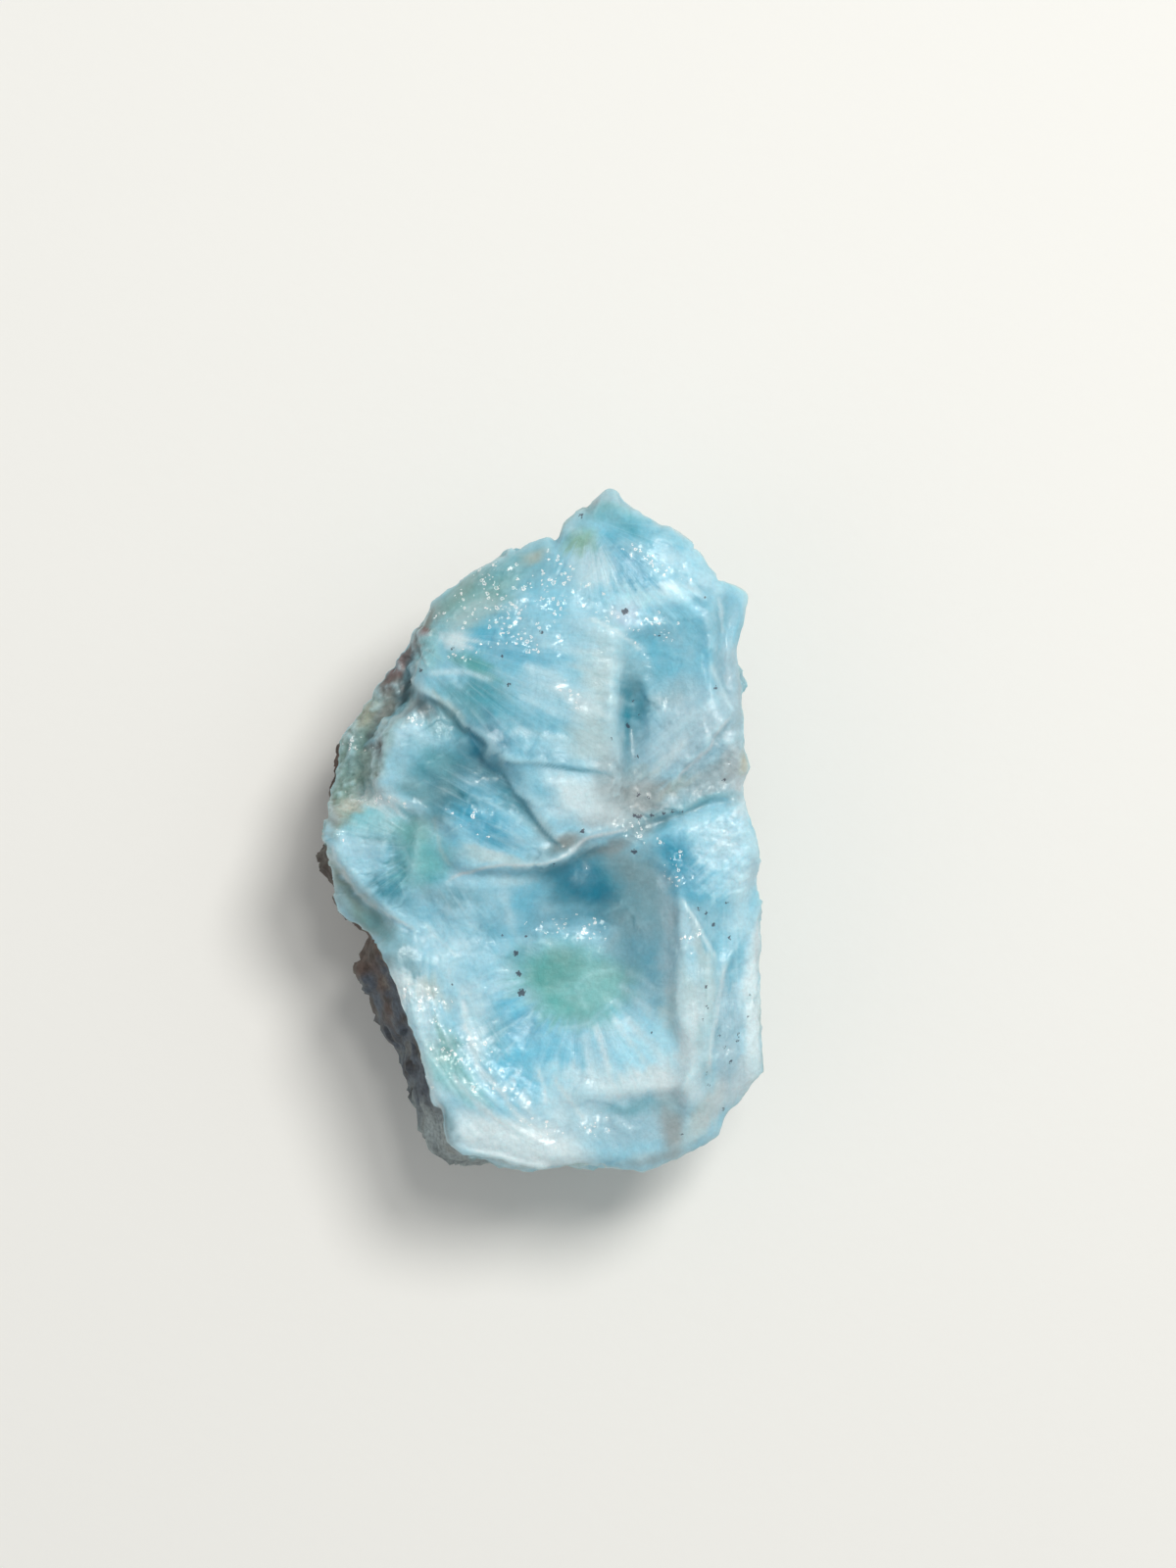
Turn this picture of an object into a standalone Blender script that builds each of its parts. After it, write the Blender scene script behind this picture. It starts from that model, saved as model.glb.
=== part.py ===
"""Rough larimar: one broken, unpolished piece of blue pectolite with a little of its host rock.

The stone lies on its flat back with its broad broken face up. X runs across the face, Y along
it and Z up. The broad face is a grid that carries the facets, ledges and the deep bowl of the
break; its border is drawn down over the flanks to a flat foot. Metres in the finished mesh;
every length below is in millimetres.
"""

import bmesh
import bpy
import numpy as np

MM = 0.001

# Driving dimensions
WIDTH = 30.8
LENGTH = 47.0
FACE_LEVEL = 15.4

# How finely the stone is cut into cells
CELLS_ACROSS = 44
CELLS_ALONG = 60
FLANK_STEPS = (0.07, 0.18, 0.32, 0.47, 0.62, 0.77, 0.90, 1.0)

# Passes that even out the stairs where a ledge crosses the cells at a slant
SOFTENING_PASSES = 1

# New points to each stretch of an outline and of a ledge's path
OUTLINE_STEPS = 4
LEDGE_STEPS = 3

# Point from which every outline is read outwards, and the height that the chips are measured from
HUB = np.array((0.4, -0.6))
CHIP_LEVEL = 7.5

# Rim of the broad face, clockwise from its tip: x, y
RIM = (
    (4.3, 23.5), (4.9, 23.4), (5.5, 22.7), (7.8, 21.1), (8.5, 21.0), (9.7, 20.1), (11.7, 17.5),
    (12.3, 17.3), (13.7, 16.6), (13.9, 15.6), (13.3, 13.3), (13.1, 12.0), (13.5, 10.3),
    (13.6, 6.7), (14.1, 4.5), (13.5, 3.2), (13.9, 1.6), (14.5, -0.5), (14.7, -1.7), (14.5, -3.0),
    (14.9, -7.3), (14.7, -9.0), (15.0, -15.7), (14.9, -16.7), (12.3, -19.7), (11.7, -21.0),
    (10.1, -21.9), (7.2, -23.1), (5.7, -23.2), (3.0, -22.7), (-0.5, -23.0), (-2.3, -22.4),
    (-5.7, -21.7), (-6.9, -21.1), (-6.4, -20.2), (-7.9, -17.9), (-9.0, -14.3), (-9.9, -11.8),
    (-10.7, -9.3), (-12.0, -7.2), (-13.8, -5.9), (-14.4, -4.6), (-15.0, 0.0), (-14.2, 5.6),
    (-13.7, 7.0), (-10.3, 11.5), (-8.2, 14.8), (-7.6, 15.9), (-6.3, 16.9), (-4.0, 18.4),
    (-0.3, 20.1), (0.8, 20.1), (1.4, 21.3), (2.3, 22.1), (3.2, 22.4), (3.8, 23.2),
)

# Widest part of the flanks seen from above, clockwise from the tip: x, y
BELLY = (
    (4.2, 23.0), (7.8, 20.6), (11.3, 17.1), (13.4, 15.8), (12.8, 12.2), (13.2, 6.4), (13.3, 1.6),
    (14.2, -2.6), (14.3, -9.0), (14.6, -15.8), (12.0, -19.4), (10.8, -21.4), (6.6, -22.9),
    (2.3, -23.5), (0.0, -23.2), (-1.7, -23.4), (-4.3, -22.9), (-7.6, -22.6), (-8.3, -20.3),
    (-9.9, -16.9), (-9.9, -15.4), (-11.9, -12.7), (-13.1, -9.8), (-13.2, -8.8), (-12.7, -7.0),
    (-14.2, -5.4), (-14.4, -3.9), (-15.8, -2.0), (-15.0, -0.6), (-15.2, 0.8), (-14.4, 2.0),
    (-14.7, 3.7), (-13.9, 5.6), (-12.0, 8.6), (-9.8, 11.3), (-7.4, 15.4), (-3.8, 17.9),
    (0.6, 19.6), (2.4, 21.6),
)

# Facets of the broad face, each a tilted plane that rules round its own middle:
# name, x, y, height over FACE_LEVEL, slope along X, slope along Y, half-length, half-width, turn
FACETS = (
    ("tip", 4.6, 21.8, 0.4, 0.00, -0.35, 2.6, 1.6, 0),
    ("top block", 6.6, 17.6, 2.0, -0.02, -0.16, 4.0, 2.6, -20),
    ("top block front", 6.5, 15.4, 2.2, 0.00, 0.02, 3.6, 1.2, -10),
    ("top left shoulder", 1.2, 18.4, 1.0, 0.20, -0.25, 3.0, 1.6, 20),
    ("top right shoulder", 10.6, 17.4, 0.9, -0.30, -0.15, 2.6, 1.6, -50),
    ("right knob", 12.8, 15.2, -0.2, -0.30, 0.00, 2.4, 1.0, 85),
    ("knob foot", 12.6, 10.8, 0.1, -0.30, 0.00, 2.8, 0.9, 90),
    ("slab shoulder", -6.2, 14.8, 0.2, 0.30, -0.15, 3.4, 2.0, 40),
    ("slab crown", -1.8, 14.2, 1.6, 0.16, -0.10, 3.4, 2.6, 20),
    ("slab middle", -0.5, 9.8, 2.3, 0.04, 0.02, 4.2, 3.4, 0),
    ("slab end", 4.0, 9.6, 2.5, -0.06, 0.02, 4.4, 1.6, 85),
    ("slab left", -5.6, 11.0, 1.2, 0.18, 0.00, 3.0, 2.4, -30),
    ("slab lip", 0.4, 5.9, 2.3, 0.00, -0.06, 4.6, 1.2, -4),
    ("wedge", 2.6, 2.4, 2.2, 0.00, 0.10, 2.8, 2.0, -10),
    ("wedge foot", 3.4, 0.4, 1.7, 0.00, 0.20, 3.2, 0.8, 12),
    ("trough", 6.0, 7.4, 0.4, 0.00, 0.02, 3.6, 0.8, 95),
    ("trough head", 7.2, 12.2, 0.7, 0.06, -0.02, 1.6, 1.4, 0),
    ("blue flat", 9.8, 11.6, 0.9, 0.06, 0.00, 2.6, 2.2, 90),
    ("streaked slope", 9.2, 6.6, 1.5, 0.14, 0.06, 3.2, 2.2, 30),
    ("slope crest", 12.0, 8.0, 1.7, 0.04, 0.04, 1.6, 1.0, 60),
    ("slope back", 11.6, 3.9, 1.1, -0.06, 0.14, 2.4, 1.4, 30),
    ("speckled saddle", 7.0, 2.2, 1.0, 0.04, 0.06, 2.0, 1.4, 10),
    ("left block", -8.2, 6.8, -0.1, 0.00, -0.08, 2.6, 1.4, 15),
    ("left block front", -10.0, 4.2, -0.2, 0.05, 0.10, 1.6, 1.8, 70),
    ("recess", -6.2, 4.4, -0.8, -0.10, 0.10, 2.6, 1.6, -10),
    ("middle facet", -3.2, 0.8, 0.9, 0.18, -0.06, 3.0, 1.6, -30),
    ("middle facet foot", -3.8, -1.2, 1.1, 0.04, 0.06, 3.2, 0.9, 5),
    ("left lobe", -12.6, 0.4, -0.8, 0.10, -0.06, 2.0, 1.8, 10),
    ("left lobe low", -11.8, -3.0, -0.9, 0.10, 0.10, 2.2, 1.2, -50),
    ("valley", -10.0, -2.0, -0.9, 0.00, 0.00, 1.8, 0.7, 80),
    ("green lump", -8.0, -1.8, 0.3, 0.05, 0.05, 1.6, 1.5, 0),
    ("lump foot", -8.6, -5.4, -0.7, -0.05, 0.12, 2.4, 1.4, -40),
    ("rind top", -10.6, 10.4, -2.0, 0.30, 0.00, 3.0, 1.0, 58),
    ("rind", -13.2, 5.0, -2.7, 0.10, 0.00, 3.6, 1.2, 88),
    ("shelf", -13.5, -4.6, -3.3, 0.20, 0.20, 3.0, 1.0, -42),
    ("bowl apron", -5.4, -5.0, 0.0, -0.05, 0.20, 2.8, 1.6, -5),
    ("bowl back wall", 0.6, -4.4, -0.2, 0.00, 0.60, 3.2, 1.2, 10),
    ("bowl corner", 5.2, -3.0, 0.2, 0.20, 0.40, 2.2, 1.6, 30),
    ("bowl right wall", 7.2, -8.8, -0.1, 0.60, 0.00, 4.8, 1.4, 88),
    ("bowl floor", 2.2, -9.6, -1.4, 0.03, 0.02, 3.4, 2.8, 0),
    ("bowl left slope", -4.2, -9.6, -0.6, -0.14, 0.05, 3.0, 2.2, -60),
    ("left rim", -8.6, -11.6, -0.1, -0.12, 0.00, 4.4, 1.3, -68),
    ("bottom left slope", -3.6, -16.4, -0.6, -0.10, -0.08, 3.4, 2.2, -50),
    ("bottom left rim", -5.0, -19.6, -0.6, -0.02, 0.10, 2.8, 1.2, -45),
    ("bottom lip", -0.6, -20.8, -1.0, -0.04, 0.05, 3.2, 1.4, -10),
    ("fan", 3.6, -15.2, -0.5, 0.08, -0.04, 2.8, 2.4, -30),
    ("fan rise", 7.4, -15.4, 0.3, 0.16, 0.04, 2.4, 1.6, 20),
    ("scar", 5.6, -19.8, -1.3, 0.02, 0.05, 3.0, 1.4, 0),
    ("scar end", 8.8, -20.2, -1.2, 0.25, 0.05, 1.6, 0.9, 80),
    ("bench head", 11.8, -1.8, 1.5, -0.08, -0.02, 2.4, 2.2, 60),
    ("bench shoulder", 8.8, -1.2, 1.6, 0.05, 0.10, 1.4, 1.2, 0),
    ("bench band", 10.2, -9.4, 1.5, -0.08, 0.00, 5.6, 1.0, 88),
    ("bench blue strip", 12.6, -11.6, 0.7, -0.22, 0.02, 5.6, 1.0, 90),
    ("bench rim", 14.2, -11.0, 0.2, -0.30, 0.00, 6.0, 0.7, 90),
    ("corner", 12.4, -17.6, -0.1, -0.20, 0.25, 2.4, 1.6, 45),
    ("corner foot", 10.6, -20.2, -0.8, -0.05, 0.20, 1.8, 1.2, 40),
)
FACET_CRISPNESS = 1.6

# Ledges, each a step along a path whose high side is on the left of its run:
# name, path, rise, width of the step, reach to either side, share of its length faded in and out
LEDGES = (
    (
        "slab ledge",
        ((-8.9, 12.6), (-9.3, 10.6), (-8.0, 9.3), (-6.5, 8.5), (-5.6, 7.4), (-4.6, 6.4), (-3.6, 4.8)),
        1.5, 0.50, 1.4, 0.15, 0.10,
    ),
    ("slab crease", ((-4.0, 4.9), (-2.3, 4.7), (0.2, 4.6), (4.4, 3.9)), 0.5, 0.30, 0.9, 0.10, 0.25),
    ("wedge groove", ((-3.4, 4.6), (-2.4, 3.6), (-1.4, 1.9), (1.3, -1.5)), 1.0, 0.45, 1.2, 0.10, 0.10),
    (
        "bowl brow",
        ((-7.4, -3.8), (-5.6, -2.8), (-3.6, -2.5), (0.0, -2.3), (1.8, -1.6), (3.4, -0.8), (7.2, 0.4)),
        0.8, 0.45, 1.2, 0.30, 0.20,
    ),
    (
        "bowl right edge",
        ((6.6, -0.4), (7.8, -2.0), (8.8, -4.6), (9.4, -8.0), (9.5, -11.0), (9.0, -13.6), (8.2, -15.2)),
        0.6, 0.45, 1.1, 0.20, 0.30,
    ),
    ("bench ledge", ((6.6, 0.5), (9.0, 1.5), (11.0, 2.3), (13.6, 2.4)), 0.8, 0.25, 1.0, 0.25, 0.05),
    ("top block edge", ((4.4, 13.8), (6.6, 14.3), (9.0, 15.0), (11.0, 16.6)), 0.7, 0.25, 0.9, 0.30, 0.10),
    (
        "slab right edge",
        ((4.6, 4.6), (5.1, 7.0), (5.5, 9.2), (6.5, 11.2), (6.3, 12.6), (5.0, 13.6), (3.0, 14.4)),
        0.8, 0.35, 1.2, 0.20, 0.30,
    ),
    (
        "rind crevice",
        ((-8.8, 11.6), (-9.5, 9.6), (-10.6, 8.0), (-11.6, 6.6), (-11.6, 3.4), (-12.2, 2.2), (-13.8, 1.2)),
        1.1, 0.45, 1.1, 0.15, 0.20,
    ),
    ("lower lobe edge", ((-5.6, 1.0), (-7.4, 1.3), (-9.6, 2.1), (-12.0, 1.8)), 0.5, 0.25, 0.8, 0.30, 0.20),
    (
        "shelf ridge",
        ((-14.9, -0.4), (-14.0, -2.4), (-13.0, -4.0), (-12.0, -5.4), (-10.4, -6.8), (-7.4, -9.6)),
        1.0, 0.45, 1.1, 0.10, 0.35,
    ),
    ("bottom scar", ((3.6, -18.4), (5.0, -18.0), (6.8, -17.8), (9.6, -16.4)), 0.8, 0.30, 1.1, 0.20, 0.30),
    ("slope crest", ((8.6, 3.2), (10.4, 5.0), (11.6, 6.6), (13.6, 8.2)), 0.5, 0.25, 0.9, 0.30, 0.10),
    ("knob ledge", ((13.2, 8.6), (12.6, 10.6), (12.1, 12.6), (11.3, 16.4)), 0.6, 0.25, 0.8, 0.30, 0.15),
    ("corner ledge", ((9.4, -17.4), (10.0, -19.2), (10.2, -21.4)), 0.6, 0.25, 0.9, 0.20, 0.10),
)

# Flat chips broken from the lower flanks: bearing from +X and downward lean in degrees, and
# distance from the point at CHIP_LEVEL over HUB
CHIPS = (
    (2, 24, 12.4), (-28, 38, 12.9), (-52, 26, 18.6), (-78, 34, 18.4), (-104, 22, 20.9),
    (-136, 30, 14.9), (-172, 26, 12.8), (158, 40, 11.2), (132, 28, 14.7), (104, 38, 16.0),
    (80, 27, 20.6), (52, 36, 14.9), (26, 22, 14.4),
)

# Breaks that run round the flanks, below which the stone is set back: bearing of the middle,
# half its spread in degrees, height there, climb per radian and depth
BREAKS = (
    (-12, 34, 11.4, 1.8, 0.9), (38, 30, 9.2, -2.4, 0.8), (92, 36, 11.8, 1.6, 0.9),
    (140, 30, 8.8, 2.2, 0.7), (-60, 26, 9.8, -2.0, 0.8), (-100, 30, 12.0, 2.2, 0.7),
)
BREAK_WIDTH = 0.9

# Swells of the flanks: waves in radians per millimetre along X, Y and Z, shift and depth
SWELLS = (
    (0.31, 0.52, 0.60, 0.4, 0.22), (-0.62, 0.28, 0.85, 2.1, 0.18), (0.95, -0.74, 0.42, 4.0, 0.12),
    (-0.40, -1.12, 1.25, 1.2, 0.10), (1.50, 0.90, -1.10, 5.2, 0.06),
)

# How far the rim of the face is rounded down, over which width and how suddenly
RIM_ROLL = 0.7
RIM_ROLL_WIDTH = 1.1
RIM_ROLL_POWER = 2.5

# The foot as a share of the belly, and the steps down the flank where the belly is reached
# and where the turn in to the foot begins
FOOT_SHARE = 0.83
BELLY_STEP = 0.42
TURN_IN_STEP = 0.36

# How late the grid takes on the rim's bays, and the smoothing of the bays in degrees
OUTLINE_BLEND = 4.0
BAY_SMOOTHING = 9.0
BAY_SAMPLES = 17

# Least share of a bearing that faces a chip, which keeps its far side finite
LEAST_FACING = 0.05

# Edges that bend more than this many degrees stay crisp
CRISP_ANGLE = 35

STONE_COLOUR = (0.33, 0.60, 0.70, 1.0)
STONE_ROUGHNESS = 0.4


def spline(points, steps, closed=False):
    """Catmull-Rom curve through the points, with `steps` new points to each stretch."""
    p = np.asarray(points, float)
    if closed:
        p = np.vstack([p[-1:], p, p[:2]])
    else:
        p = np.vstack([2 * p[0] - p[1], p, 2 * p[-1] - p[-2]])
    t = (np.arange(steps) / steps)[:, None, None]
    a, b, c, d = p[:-3], p[1:-2], p[2:-1], p[3:]
    q = 0.5 * (
        2 * b + (c - a) * t + (2 * a - 5 * b + 4 * c - d) * t**2 + (3 * b - a - 3 * c + d) * t**3
    )
    q = q.transpose(1, 0, 2).reshape(-1, 2)
    return q if closed else np.vstack([q, p[-2:-1]])


def radius_of(outline, angle):
    """Radius of a closed outline about HUB, read at each angle."""
    arm = spline(outline, OUTLINE_STEPS, closed=True) - HUB
    bearing = np.arctan2(arm[:, 1], arm[:, 0])
    order = np.argsort(bearing)
    return np.interp(angle, bearing[order], np.hypot(*arm.T)[order], period=2 * np.pi)


def smooth_radius_of(outline, angle):
    """The same radius averaged over BAY_SMOOTHING degrees, so that small bays disappear."""
    offsets = np.linspace(-2, 2, BAY_SAMPLES)
    weights = np.exp(-0.5 * offsets**2)
    turned = [radius_of(outline, angle + offset * np.radians(BAY_SMOOTHING)) for offset in offsets]
    return np.average(turned, axis=0, weights=weights)


def fade(share):
    """0 to 1 with level ends."""
    share = np.clip(share, 0, 1)
    return share * share * (3 - 2 * share)


def facet_height(x, y):
    """The facets' planes, each counting most near its own middle."""
    near, height = [], []
    for _, cx, cy, level, rise_x, rise_y, half_length, half_width, turn in FACETS:
        c, s = np.cos(np.radians(turn)), np.sin(np.radians(turn))
        dx, dy = x - cx, y - cy
        near.append(((dx * c + dy * s) / half_length) ** 2 + ((dy * c - dx * s) / half_width) ** 2)
        height.append(level + rise_x * dx + rise_y * dy)
    near = np.array(near)
    weight = np.exp(-FACET_CRISPNESS * (near - near.min(axis=0)))
    return (weight * np.array(height)).sum(axis=0) / weight.sum(axis=0)


def path_distance(x, y, path):
    """Distance to a path, positive on its left, and the share of its length at the nearest point."""
    start, run = path[:-1], path[1:] - path[:-1]
    length = np.hypot(run[:, 0], run[:, 1])
    before = np.concatenate([[0.0], np.cumsum(length)[:-1]])
    px, py = x[..., None] - start[:, 0], y[..., None] - start[:, 1]
    along = np.clip((px * run[:, 0] + py * run[:, 1]) / length**2, 0, 1)
    away = np.hypot(px - along * run[:, 0], py - along * run[:, 1])
    side = np.sign(run[:, 0] * py - run[:, 1] * px)
    nearest = np.argmin(away, axis=-1)[..., None]
    signed = np.take_along_axis(away * side, nearest, -1)[..., 0]
    share = np.take_along_axis((before + along * length) / length.sum(), nearest, -1)[..., 0]
    return signed, share


def ledge_height(x, y):
    """The sum of all ledges: each steps up across its path and dies away to both sides."""
    height = np.zeros_like(x)
    for _, path, rise, width, reach, fade_in, fade_out in LEDGES:
        away, share = path_distance(x, y, spline(path, LEDGE_STEPS))
        step = 0.5 * rise * np.tanh(away / width) * np.exp(-((away / reach) ** 2))
        height += step * fade(share / fade_in) * fade((1 - share) / fade_out)
    return height


def round_hub(radius, angle):
    """X and Y at a radius and bearing from HUB."""
    return HUB[0] + radius * np.cos(angle), HUB[1] + radius * np.sin(angle)


def face_level(x, y, inward):
    """Height of the face, with its edge rounded over where `inward` from the rim is small."""
    edge = np.clip(1 - inward / RIM_ROLL_WIDTH, 0, 1)
    return FACE_LEVEL + facet_height(x, y) + ledge_height(x, y) - RIM_ROLL * edge**RIM_ROLL_POWER


def face_points(u, v):
    """Places on the broad face for a square grid's coordinates, both from -1 to 1.

    The square is pressed into a disc, and the disc is stretched to the rim: smoothly in the
    middle, and following every bay of the rim at its edge.
    """
    disc_x, disc_y = u * np.sqrt(1 - v**2 / 2), v * np.sqrt(1 - u**2 / 2)
    share, angle = np.hypot(disc_x, disc_y), np.arctan2(disc_y, disc_x)
    broad, exact = smooth_radius_of(RIM, angle), radius_of(RIM, angle)
    radius = broad * share + (exact - broad) * share**OUTLINE_BLEND
    x, y = round_hub(radius, angle)
    return np.stack([x, y, face_level(x, y, exact - radius)], axis=-1)


def chipped(radius, angle, z):
    """The radius cut back to the flat chips, each met along the point's own bearing."""
    for bearing, lean, reach in CHIPS:
        facing = np.cos(np.radians(lean)) * np.cos(angle - np.radians(bearing))
        meets = (reach + np.sin(np.radians(lean)) * (z - CHIP_LEVEL)) / np.maximum(facing, LEAST_FACING)
        radius = np.minimum(radius, meets)
    return radius


def set_back(angle, z):
    """How far the flanks' breaks set the stone back."""
    depth = np.zeros_like(z)
    for bearing, spread, height, climb, most in BREAKS:
        off = (angle - np.radians(bearing) + np.pi) % (2 * np.pi) - np.pi
        below = fade((height + climb * off - z) / BREAK_WIDTH)
        depth += most * below * fade(2 - 2 * np.abs(off) / np.radians(spread))
    return depth


def flank_points(angle, step):
    """Places on the flanks at each bearing: step 0 is the rim, and step 1 the foot.

    The radius swings from the rim out to the belly and back in to the foot, the swells and
    breaks push it in, and the chips cut it flat.
    """
    edge, belly = radius_of(RIM, angle), radius_of(BELLY, angle)
    foot = FOOT_SHARE * smooth_radius_of(BELLY, angle)
    rim_x, rim_y = round_hub(edge, angle)
    z = face_level(rim_x, rim_y, np.zeros_like(angle)) * (1 - step)
    out, back = fade(step / BELLY_STEP), fade((step - TURN_IN_STEP) / (1 - TURN_IN_STEP))
    radius = edge + (belly - edge) * out + (foot - belly) * back
    x, y = round_hub(radius, angle)
    for wave_x, wave_y, wave_z, shift, depth in SWELLS:
        radius -= depth * out * (1 + np.sin(wave_x * x + wave_y * y + wave_z * z + shift))
    radius = chipped(radius - set_back(angle, z), angle, z)
    return np.stack([*round_hub(radius, angle), z], axis=-1)


def seated(points):
    """Points stretched a little to the driving size, centred and set on Z = 0, in metres."""
    low, high = points.min(axis=0), points.max(axis=0)
    stretch = np.array((WIDTH, LENGTH)) / (high - low)[:2]
    flat = (points[:, :2] - (low + high)[:2] / 2) * stretch
    return np.column_stack([flat, points[:, 2] - low[2]]) * MM


def clear_scene():
    for item in list(bpy.data.objects):
        bpy.data.objects.remove(item)


def stone_material():
    """Pale blue pectolite with a broken, moist surface."""
    material = bpy.data.materials.new("larimar")
    material.use_nodes = True
    shader = material.node_tree.nodes["Principled BSDF"]
    shader.inputs["Base Color"].default_value = STONE_COLOUR
    shader.inputs["Roughness"].default_value = STONE_ROUGHNESS
    shader.inputs["Metallic"].default_value = 0.0
    material.diffuse_color = STONE_COLOUR
    return material


def place(verts, points):
    for vert, point in zip(verts, points):
        vert.co = point


def stone_mesh():
    """The whole stone as one closed mesh: the face's grid, drawn-down flanks and a flat foot."""
    bm = bmesh.new()
    bmesh.ops.create_grid(bm, x_segments=CELLS_ACROSS, y_segments=CELLS_ALONG, size=1.0)
    grid = np.array([vert.co for vert in bm.verts])
    place(bm.verts, face_points(grid[:, 0], grid[:, 1]))
    inner = [vert for vert in bm.verts if not vert.is_boundary]
    for _ in range(SOFTENING_PASSES):
        bmesh.ops.smooth_vert(bm, verts=inner, factor=0.5, use_axis_z=True)

    ring = [edge for edge in bm.edges if edge.is_boundary]
    for step in FLANK_STEPS:
        drawn = bmesh.ops.extrude_edge_only(bm, edges=ring)["geom"]
        ring = [item for item in drawn if isinstance(item, bmesh.types.BMEdge)]
        verts = [item for item in drawn if isinstance(item, bmesh.types.BMVert)]
        arm = np.array([vert.co for vert in verts])[:, :2] - HUB
        place(verts, flank_points(np.arctan2(arm[:, 1], arm[:, 0]), step))
    bmesh.ops.holes_fill(bm, edges=ring)

    place(bm.verts, seated(np.array([vert.co for vert in bm.verts])))
    bmesh.ops.recalc_face_normals(bm, faces=bm.faces)
    bmesh.ops.triangulate(bm, faces=bm.faces)
    mesh = bpy.data.meshes.new("larimar")
    bm.to_mesh(mesh)
    bm.free()
    return mesh


def build():
    clear_scene()
    mesh = stone_mesh()
    mesh.shade_smooth()
    mesh.set_sharp_from_angle(angle=np.radians(CRISP_ANGLE))
    mesh.materials.append(stone_material())
    stone = bpy.data.objects.new("larimar", mesh)
    bpy.context.scene.collection.objects.link(stone)


build()
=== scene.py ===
"""Rough larimar: the fine broken surface, the markings and a plain studio for one blue stone.

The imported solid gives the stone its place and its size. This script lays a finer surface over the
same facets, ledges and chips, and adds what is too small for the solid: fibres, crystal grain,
crevices, specks and the rough host rock. Lengths are in millimetres, on the same axes as the
solid (X across the face, Y along it, Z up), until a mesh is made.
"""

import itertools
import logging
from collections.abc import Iterable, Mapping, Sequence
from dataclasses import dataclass
from enum import Enum
from typing import Any

import bpy
import numpy as np
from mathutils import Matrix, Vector


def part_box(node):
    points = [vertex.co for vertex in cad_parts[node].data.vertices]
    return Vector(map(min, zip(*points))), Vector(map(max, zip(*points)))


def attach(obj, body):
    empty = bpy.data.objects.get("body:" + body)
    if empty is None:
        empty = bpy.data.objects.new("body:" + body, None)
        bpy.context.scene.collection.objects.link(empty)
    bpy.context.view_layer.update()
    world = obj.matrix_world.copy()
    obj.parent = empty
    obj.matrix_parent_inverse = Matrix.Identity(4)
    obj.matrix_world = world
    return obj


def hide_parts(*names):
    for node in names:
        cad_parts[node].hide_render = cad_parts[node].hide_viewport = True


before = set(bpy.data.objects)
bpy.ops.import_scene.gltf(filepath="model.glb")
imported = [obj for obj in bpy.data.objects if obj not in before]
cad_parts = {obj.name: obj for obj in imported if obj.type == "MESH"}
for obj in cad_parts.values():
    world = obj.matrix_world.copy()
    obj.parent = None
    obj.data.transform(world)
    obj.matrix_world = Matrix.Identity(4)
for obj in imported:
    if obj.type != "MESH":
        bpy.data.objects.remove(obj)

Array = np.ndarray
Point = tuple[float, float]
Pair = tuple[float, float]

MM = 0.001
# A turn about no plain axis, so that no noise lattice lines up with the stone
LATTICE_TURN = np.array([[0.36, 0.48, -0.80], [-0.80, 0.60, 0.00], [0.48, 0.64, 0.60]])
NODE = "larimar"
log = logging.getLogger(NODE)


class Hue(Enum):
    """Colours of the stone, as sRGB hex values."""

    MILK = "#D5E7ED"
    CHALK = "#C8D3D8"
    IVORY = "#C3C8BE"
    SAND = "#BAB29A"
    FROST = "#C0E0EB"
    GLOW = "#B8E9FA"
    ICE = "#AEDAEA"
    LILAC = "#B7C8DA"
    MIST = "#B9D0D4"
    PEARL = "#A3C1CE"
    SKY = "#98CFE2"
    AQUA = "#94CCD0"
    TURQUOISE = "#66BFDB"
    LAGOON = "#76BCD2"
    AZURE = "#4AA9C7"
    CERULEAN = "#6AAFC6"
    STEEL = "#7EA8B4"
    HARBOUR = "#4990A3"
    DEEP = "#187C98"
    PETROL = "#15687A"
    TEAL = "#66A3B0"
    REEF = "#4F9CAA"
    VERDIGRIS = "#52A3A1"
    SEA_GREEN = "#66B0AD"
    SAGE = "#78AFAB"
    OLIVE = "#7FAA90"
    ASH = "#96A3A6"
    RIND = "#7F9A92"
    DRAB = "#7B7B73"
    SHADE = "#44626A"
    UMBER = "#5B4A43"
    SLATE = "#4C5866"
    GRAPHITE = "#3C342E"
    INK = "#34384E"
    RUST = "#7D4B46"

    @property
    def rgb(self) -> Array:
        """The colour in linear red, green and blue."""
        return linear(self.value)


class Lie(Enum):
    """How the fibres of one spray lie."""

    RADIATING = "radiating"
    ARCED = "arced"
    PARALLEL = "parallel"


def linear(hex_colour: str) -> Array:
    """Turns an sRGB hex value into linear red, green and blue.

    Args:
        hex_colour: The colour as "#RRGGBB".

    Returns:
        Three linear values from 0 to 1.
    """
    share = np.array([int(hex_colour[i : i + 2], 16) for i in (1, 3, 5)]) / 255
    return np.where(share <= 0.04045, share / 12.92, ((share + 0.055) / 1.055) ** 2.4)


def fade(share: Array) -> Array:
    """0 to 1 with level ends: three times the square less twice the cube of the clipped share."""
    share = np.clip(share, 0, 1)
    return share * share * (3 - 2 * share)


def blend(first: Array, second: Array, share: Array) -> Array:
    """Mixes two colours by a share for each point: first at 0, second at 1."""
    return first + (second - first) * share[..., None]


def overlaid(base: Array, layers: Iterable[tuple[Hue, Array]]) -> Array:
    """Lays colours over a base one after another, each by its own share."""
    for hue, share in layers:
        base = blend(base, hue.rgb, share)
    return base


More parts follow.
